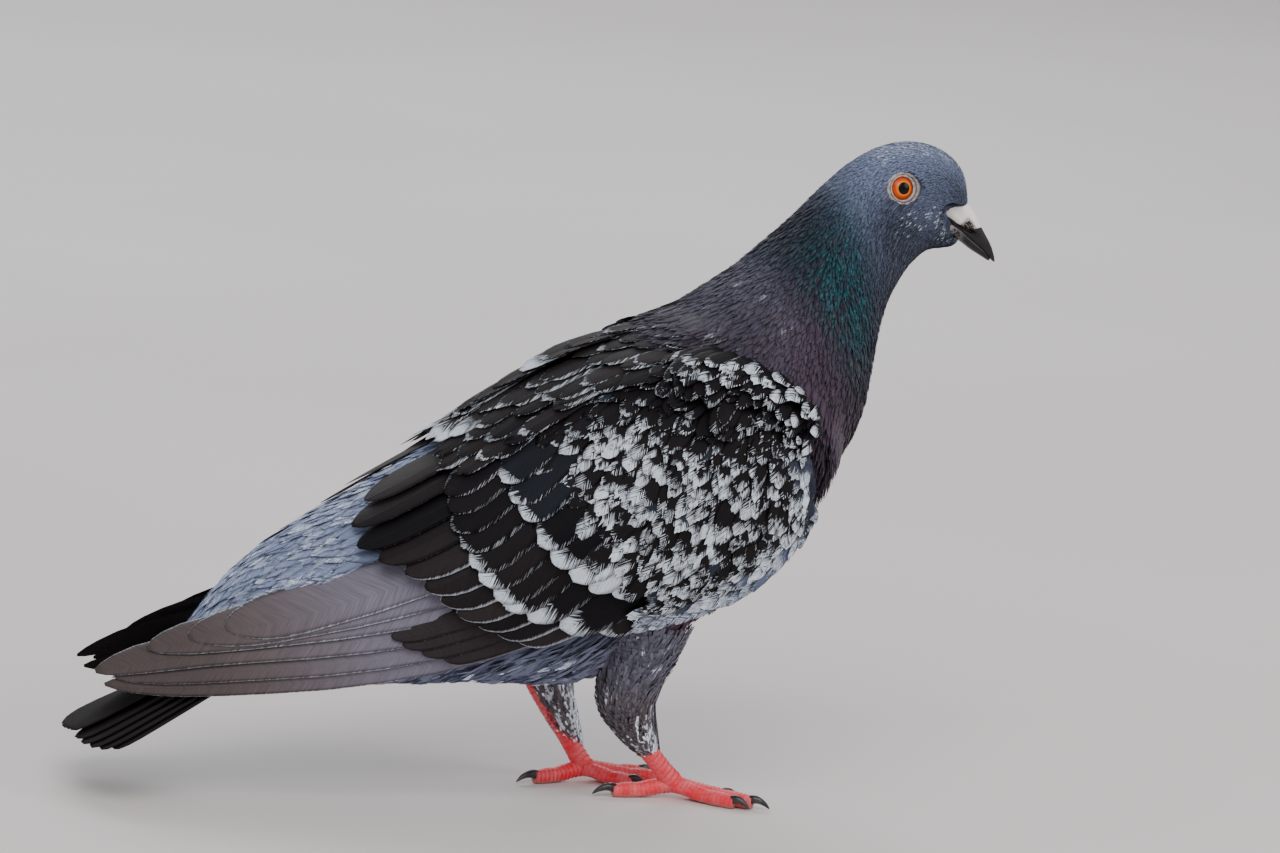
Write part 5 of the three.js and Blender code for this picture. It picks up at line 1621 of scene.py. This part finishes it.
class PIGEON_OT_eyes(bpy.types.Operator):
    """Both eyes, with their rings of folded bare skin"""

    bl_idname = "pigeon.eyes"
    bl_label = "Eyes"

    def execute(self, context):
        colours = context.scene.pigeon_colours
        for name, side in SIDES.items():
            frame = eye_frame(side)
            # Ball: radius against the angle from the axis, with the cornea standing a little proud.
            phi = np.linspace(0.02, math.pi - 0.02, 48)[:, None]
            turn = around(56)[None, :]
            size = EYE_BALL - 0.12 + 0.2 * np.exp(-((phi / 0.6) ** 2))
            radius, out = size * np.sin(phi) + 0 * turn, size * np.cos(phi) + 0 * turn
            ball = about_eye(frame, radius, out, turn)
            mask = np.stack([np.where(out > 0, radius, OFF_IRIS), turn + 0 * radius, 0 * radius], -1)
            make_piece(
                f"eyeball_{name}", ball, closed_tube(ball, 0, side > 0), marks={"mask": mask},
                replaces=(f"eye_{name}",), material=iris(),
            )
            # Ring: its closed section carried round the axis, waved and wider towards the bill; its grooves, folds and
            # inner edge are darkened with painted shade.
            k = np.linspace(0, len(LID_PROFILE), 49)[:-1]
            ring = spline(np.vstack([LID_PROFILE[-1:], LID_PROFILE, LID_PROFILE[:2]]))(k + 1)
            turn = around(96)
            wave = 0.04 * np.sin(17 * turn) + 0.04 * np.sin(29 * turn + 1) + 0.06 * np.sin(7 * turn + 2)
            outer = smooth(ring[:, 0], 3.3, 4.6)[:, None]
            shape = 1 + (ring_shape(turn) - 1)[None, :] * outer
            r = ring[:, 0][:, None] * shape + wave[None, :] * outer * 0.2
            out = ring[:, 1][:, None] + wave[None, :] * outer
            lid = about_eye(frame, r, out, turn[None, :])
            folds = np.sin(23 * turn[None, :] + 5 * np.sin(3 * turn)[None, :] + 4 * r)
            # Painted shade: dark in the grooves, the folds and along the inner edge against the ball.
            ring_fold_shade = bump(r / shape, 4.02, 0.24) * (out > 3.2) * 0.9 + bump(r, 3.36, 0.12)
            ring_fold_shade = ring_fold_shade + 0.6 * smooth(folds, 0.5, 1) * outer
            mask = np.stack([np.clip(ring_fold_shade, 0, 1), 0 * r, 0 * r], -1)
            rows, columns = lid.shape[:2]
            quads = grid_faces(rows + 1, columns, True) % (rows * columns)
            if side < 0:
                quads = quads[:, ::-1]
            make_piece(
                f"lids_{name}", lid, [quads], marks={"mask": mask}, replaces=(f"eye_ring_{name}",),
                material=horn("Eye ring skin", tuple(colours.lid), rgb("c6bcb8"), 0.6, 0.05, 1000.0),
            )
        return {"FINISHED"}


def bill_half(name, rows, upper, node, material):
    """One half of the bill: a rail loft drawn in at its tip, the upper one pressed in along the nostril slit. Its mask
    paints shade dark into the slit and along the mouth line, painted highlights as pale flecks at the tip, and the
    lower bill's own pale flecks at its root.
    """
    t = np.linspace(0, len(rows) - 1, 80)[:, None]
    angle = around(64)[None, :]
    points = rail_section(rows, -1 if upper else 1)(t, angle)
    end = smooth(t, len(rows) - 1.5, len(rows) - 1)
    middle = points.mean(1, keepdims=True)
    points = middle + (points - middle) * (1 - 0.45 * end[..., None] ** 3)
    mask = np.zeros(points.shape)
    if upper:
        (x, z), (hx, hz) = NOSTRIL["at"], NOSTRIL["half"]
        along, across = oval_parts(points[..., 0] - x, points[..., 2] - z, NOSTRIL["pitch"], hx, hz)
        d = along + across
        slit = (1 - smooth(d, 0.3, 1.3)) * (np.abs(points[..., 1]) > 1)
        points[..., 1] -= np.sign(points[..., 1]) * 1.1 * slit
        # Painted shade: the slit is darkened inside.
        mask[..., 0] = slit
    # Painted shade: a dark line along the mouth, where the two halves meet.
    mouth = smooth(-np.cos(angle) if upper else np.cos(angle), 0.72, 0.9)
    mask[..., 0] = np.maximum(mask[..., 0], mouth * (1 - smooth(t, len(rows) - 1.6, len(rows) - 1)))
    # Painted highlights: pale flecks at the tip.
    mask[..., 1] = 0.25 * smooth(t, len(rows) - 1.35, len(rows) - 1) * np.ones_like(angle)
    if not upper:
        flecks = (1 - smooth(t, 0.3, 1.4)) * np.ones_like(angle)
        mask[..., 1] = np.maximum(mask[..., 1], 0.75 * flecks)
    return make_piece(
        name, points, closed_tube(points), marks={"mask": mask}, replaces=(node,), material=material
    )


def cere_shell():
    """A saddle over the root of the bill: the bill's own section grown by a swelling that fades out at its rim, with a
    furrow down the middle; the rim draws up to the culmen in front. Outer and inner faces make one closed form."""
    flat = rail_section(UPPER_BILL, -1)
    k = np.linspace(0, 1, 56)[:, None]
    q = np.linspace(-1, 1, 49)[None, :]
    t = -0.3 + 3.0 * k + 0 * q
    reach = np.interp(k, [0, 0.43, 0.67, 0.8, 0.88, 0.95, 1], [2.4, 2.25, 1.92, 1.62, 1.2, 0.75, 0.4])
    angle = q * reach
    core = flat(t, 0 * angle + math.pi / 2) * np.array([1, 0, 1])
    skin = flat(t, angle)
    outward = unit(skin - core)
    dome = (1 - np.abs(q) ** 5) * smooth(k, -0.1, 0.18) * (1 - smooth(k, 0.55, 1.0) * 0.85)
    dome = dome * (1 - smooth(k, 0.96, 1.0))
    side = 0.2 + 0.8 * smooth(np.abs(angle), 0.03, 0.7)
    lumps = 1 + 0.1 * np.sin(9 * k + 4 * q) + 0.08 * np.sin(17 * q + 11 * k)
    full = 1.0 + 0.8 * (1 - smooth(k, 0.25, 0.6)) * bump(np.abs(angle), 0.9, 0.8)
    grown = skin + (outward * (full * dome * side * lumps - 0.12)[..., None])
    inner = skin - outward * 0.5
    ring = np.concatenate([grown, inner[:, ::-1]], 1)
    fleck = smooth(k, 0.42, 0.58) * smooth(np.abs(angle), 1.15, 1.55)
    mask = np.concatenate([fleck, 0 * fleck], 1)
    return ring, np.stack([1.5 * mask, 0 * mask, 0 * mask], -1)


class PIGEON_OT_bill(bpy.types.Operator):
    """Upper and lower bill, and the chalky cere over the nostrils"""

    bl_idname = "pigeon.bill"
    bl_label = "Bill and cere"

    def execute(self, context):
        colours = context.scene.pigeon_colours
        material = horn("Bill horn", tuple(colours.bill), rgb("1e191f"), 0.36, 0.12, 260.0)
        bill_half("bill_upper", UPPER_BILL, True, "upper_bill", material)
        bill_half("bill_lower", LOWER_BILL, False, "lower_bill", material)
        ring, mask = cere_shell()
        make_piece(
            "cere_skin", ring, closed_tube(ring), marks={"mask": mask}, replaces=("cere",),
            material=horn("Cere skin", tuple(colours.cere), rgb("fffaf4"), 0.75, 0.0, 500.0),
        )
        return {"FINISHED"}


# ---- Skin ----
SKIN_VOXEL = 0.0012  # metres
SKIN_RELAX = 3  # rounds of smoothing
SOCKET = (4.4, 5.4)  # the skin sinks from the outer to the inner of these distances from the eye's axis
COLOUR_STRIDE = 7  # every so many feather points are looked up for the skin's colours


def skin_parts(depth, face_depth):
    """Closed forms that the skin joins: body, thighs and the flesh of both wings, each inside its feathers."""
    parts = []
    t = np.linspace(0, len(BODY) - 1, 150)[:, None]
    angle = around(96)[None, :]
    inward = np.interp(t, [11, 14.5], [depth, face_depth])
    parts.append((body.place(t, angle, -inward - 0 * angle), False))
    for leg in LEGS.values():
        rows = np.array(leg["coat"], float)
        rows[:, 3] = np.maximum(rows[:, 3] - 1.4, 1.4)
        rows = np.vstack([rows[0] + [2, 0, 12, 0], rows])
        t = np.linspace(0, len(rows) - 1.3, 30)[:, None]
        parts.append((tube_flat(rows)(t, angle[:, ::4]), True))
    for side in SIDES.values():
        for surface, span, thick in ((arm, (17, 96), 5), (hand, (90, 124), 2.6)):
            s = np.linspace(*span, 40)[:, None]
            v = np.linspace(0.03, 0.97, 24)[None, :]
            top = surface.place(s, v, -1.5 + 0 * v * s)
            low = surface.place(s, v[:, ::-1], -1.5 - thick * np.sin(np.pi * v[:, ::-1]) ** 0.5 + 0 * s)
            ring = np.concatenate([top, low], 1) * np.array([1, side, 1])
            parts.append((ring, side > 0))
    return parts


class PIGEON_OT_skin(bpy.types.Operator):
    """One closed skin under the coat, with the coat's own colours"""

    bl_idname = "pigeon.skin"
    bl_label = "Skin"

    def execute(self, context):
        sizes = context.scene.pigeon_sizes
        points, quads, count = [], [], 0
        for grid, flip in skin_parts(sizes.skin_depth / MM, sizes.face_depth / MM):
            quads += closed_tube(grid, count, flip)
            points.append(grid.reshape(-1, 3))
            count += len(points[-1])
        rough = make_piece("rough_skin", np.concatenate(points), quads)
        remesh = rough.modifiers.new("One skin", "REMESH")
        remesh.mode, remesh.voxel_size = "VOXEL", SKIN_VOXEL
        relax = rough.modifiers.new("Relax", "SMOOTH")
        relax.iterations = SKIN_RELAX
        graph = context.evaluated_depsgraph_get()
        mesh = bpy.data.meshes.new_from_object(rough.evaluated_get(graph))
        co = np.empty(len(mesh.vertices) * 3, np.float32)
        mesh.vertices.foreach_get("co", co)
        skin = co.reshape(-1, 3).astype(float) / MM
        skin[:, 0] -= SHIFT_X
        corners = np.empty(len(mesh.loops), np.int32)
        mesh.loops.foreach_get("vertex_index", corners)
        faces = corners.reshape(-1, 4)
        bpy.data.objects.remove(rough)
        bpy.data.meshes.remove(mesh)
        # Sockets: near each eye's axis the skin sinks behind the front of the ball.
        near, out = from_eye(skin)
        sink = (1 - smooth(near, *SOCKET)) * (out > 1.0)
        for side in SIDES.values():
            _, axis, _, _ = eye_frame(side)
            own = (skin[:, 1] * side > 0) * sink * np.maximum(out - 1.0, 0)
            skin -= own[:, None] * axis
        # Colours come from the nearest feathers, a little darker and less white.
        places, pigments, tones = (np.concatenate(part)[::COLOUR_STRIDE] for part in zip(*FEATHER_MARKS))
        tree = KDTree(len(places))
        for i, p in enumerate(places):
            tree.insert(p, i)
        tree.balance()
        nearest = np.array([tree.find(p)[1] for p in skin])
        tone = tones[nearest].copy()
        tone[:, 0] *= 0.7
        tone[:, 1] *= 0.8
        make_piece(
            "body_skin", skin, [faces], marks={"pigment": pigments[nearest], "tone": tone},
            replaces=("torso", "rump", "neck", "head", "thigh_right", "thigh_left"),
            material=plumage("Skin", 1, 1, 0.4, 0.85, skin=True),
        )
        return {"FINISHED"}


# ---- Stage ----
# The camera looks at the aim along its third axis from a distance in metres; its lens is in millimetres.
CAMERA_AIM = (0, 0, 107.117)
CAMERA_AXES = ((0.95248, -0.29674, 0.06870), (-0.01281, 0.18630, 0.98241), (-0.30432, -0.93661, 0.17365))
CAMERA_DISTANCE = 2.5
CAMERA_LENS = 242.6
LIGHTS = [
    # name, place and size in metres, power in watts, colour: all aim at the bird
    ("Key", (-0.5, -1.5, 1.7), 1.4, 26, (1.0, 0.98, 0.96)),
    ("Front", (1.4, -0.8, 0.9), 0.9, 9, (1.0, 0.93, 0.9)),
    ("Back", (0.2, 1.5, 1.4), 1.2, 16, (0.95, 0.97, 1.0)),
]


def stand(name, data, axes, place):
    """A lamp or camera in the scene, turned to its three axes and set at its place in metres."""
    obj = bpy.data.objects.new(name, data)
    turn = np.eye(4)
    turn[:3, :3] = np.array(axes).T
    turn[:3, 3] = place
    obj.matrix_world = Matrix(turn.tolist())
    bpy.context.scene.collection.objects.link(obj)
    return obj


class PIGEON_OT_stage(bpy.types.Operator):
    """Pale floor, soft lights and the camera"""

    bl_idname = "pigeon.stage"
    bl_label = "Stage"

    def execute(self, context):
        scene = context.scene
        radius = scene.pigeon_sizes.floor_radius / MM
        # Floor: a flat disc of rings from the middle out, just under the feet.
        rings, spokes = 24, 64
        r = np.linspace(1, radius, rings)[:, None]
        turn = around(spokes)[None, :]
        disc = np.stack([r * np.cos(turn), r * np.sin(turn), -0.05 + 0 * r * turn], -1)
        centre = np.arange(spokes)[None, :]
        floor = make_piece("floor", disc, [grid_faces(rings, spokes, True, 0, True), centre])
        material, net, shader = new_material("Pale floor")
        cloud = net.noise(net.place(), 3.0, 3.0)
        colour = net.mix(net.step(cloud, 0.3, 0.7), (0.72, 0.69, 0.68, 1), (0.76, 0.73, 0.72, 1))
        net.put(shader, {"Base Color": colour, "Roughness": 0.8})
        floor.data.materials.append(material)
        floor.parent = None
        if "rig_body" in floor:
            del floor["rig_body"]
        world = bpy.data.worlds.new("Studio")
        world.use_nodes = True
        inputs = world.node_tree.nodes["Background"].inputs
        inputs["Color"].default_value = (0.86, 0.85, 0.86, 1)
        inputs["Strength"].default_value = 0.6
        scene.world = world
        aim = np.array([(CAMERA_AIM[0] + SHIFT_X) * MM, 0, CAMERA_AIM[2] * MM])
        for name, place, size, power, colour in LIGHTS:
            data = bpy.data.lights.new(name, "AREA")
            data.shape, data.size, data.energy, data.color = "SQUARE", size, power, colour
            z = unit(np.array(place) - aim)
            x = unit(np.cross(np.array([0, 0, 1.0]), z))
            stand(name, data, [x, np.cross(z, x), z], place)
        data = bpy.data.cameras.new("Camera")
        data.lens, data.sensor_width, data.clip_start = CAMERA_LENS, 36, 0.05
        place = aim + np.array(CAMERA_AXES[2]) * CAMERA_DISTANCE
        scene.camera = stand("Camera", data, CAMERA_AXES, place)
        return {"FINISHED"}


STEPS = [
    PIGEON_OT_stage,
    PIGEON_OT_eyes,
    PIGEON_OT_bill,
    PIGEON_OT_feet,
    PIGEON_OT_body_coat,
    PIGEON_OT_thighs,
    PIGEON_OT_wings,
    PIGEON_OT_tail,
    PIGEON_OT_skin,
]


class PIGEON_PT_parts(bpy.types.Panel):
    """Lists the parts of the pigeon"""

    bl_label = "Pigeon"
    bl_space_type = "VIEW_3D"
    bl_region_type = "UI"
    bl_category = "Pigeon"

    def draw(self, context):
        for settings in (context.scene.pigeon_sizes, context.scene.pigeon_colours):
            for key in settings.bl_rna.properties.keys():
                if key not in ("rna_type", "name"):
                    self.layout.prop(settings, key)
        for step in STEPS:
            self.layout.operator(step.bl_idname)


CLASSES = [PigeonColours, PigeonSizes, *STEPS, PIGEON_PT_parts]


def register():
    for cls in CLASSES:
        bpy.utils.register_class(cls)
    bpy.types.Scene.pigeon_colours = bpy.props.PointerProperty(type=PigeonColours)
    bpy.types.Scene.pigeon_sizes = bpy.props.PointerProperty(type=PigeonSizes)


def unregister():
    del bpy.types.Scene.pigeon_sizes
    del bpy.types.Scene.pigeon_colours
    for cls in reversed(CLASSES):
        bpy.utils.unregister_class(cls)


def main():
    register()
    bpy.ops.pigeon.stage()
    bpy.ops.pigeon.eyes()
    bpy.ops.pigeon.bill()
    bpy.ops.pigeon.feet()
    bpy.ops.pigeon.body_coat()
    bpy.ops.pigeon.thighs()
    bpy.ops.pigeon.wings()
    bpy.ops.pigeon.tail()
    bpy.ops.pigeon.skin()


if __name__ == "__main__":
    main()
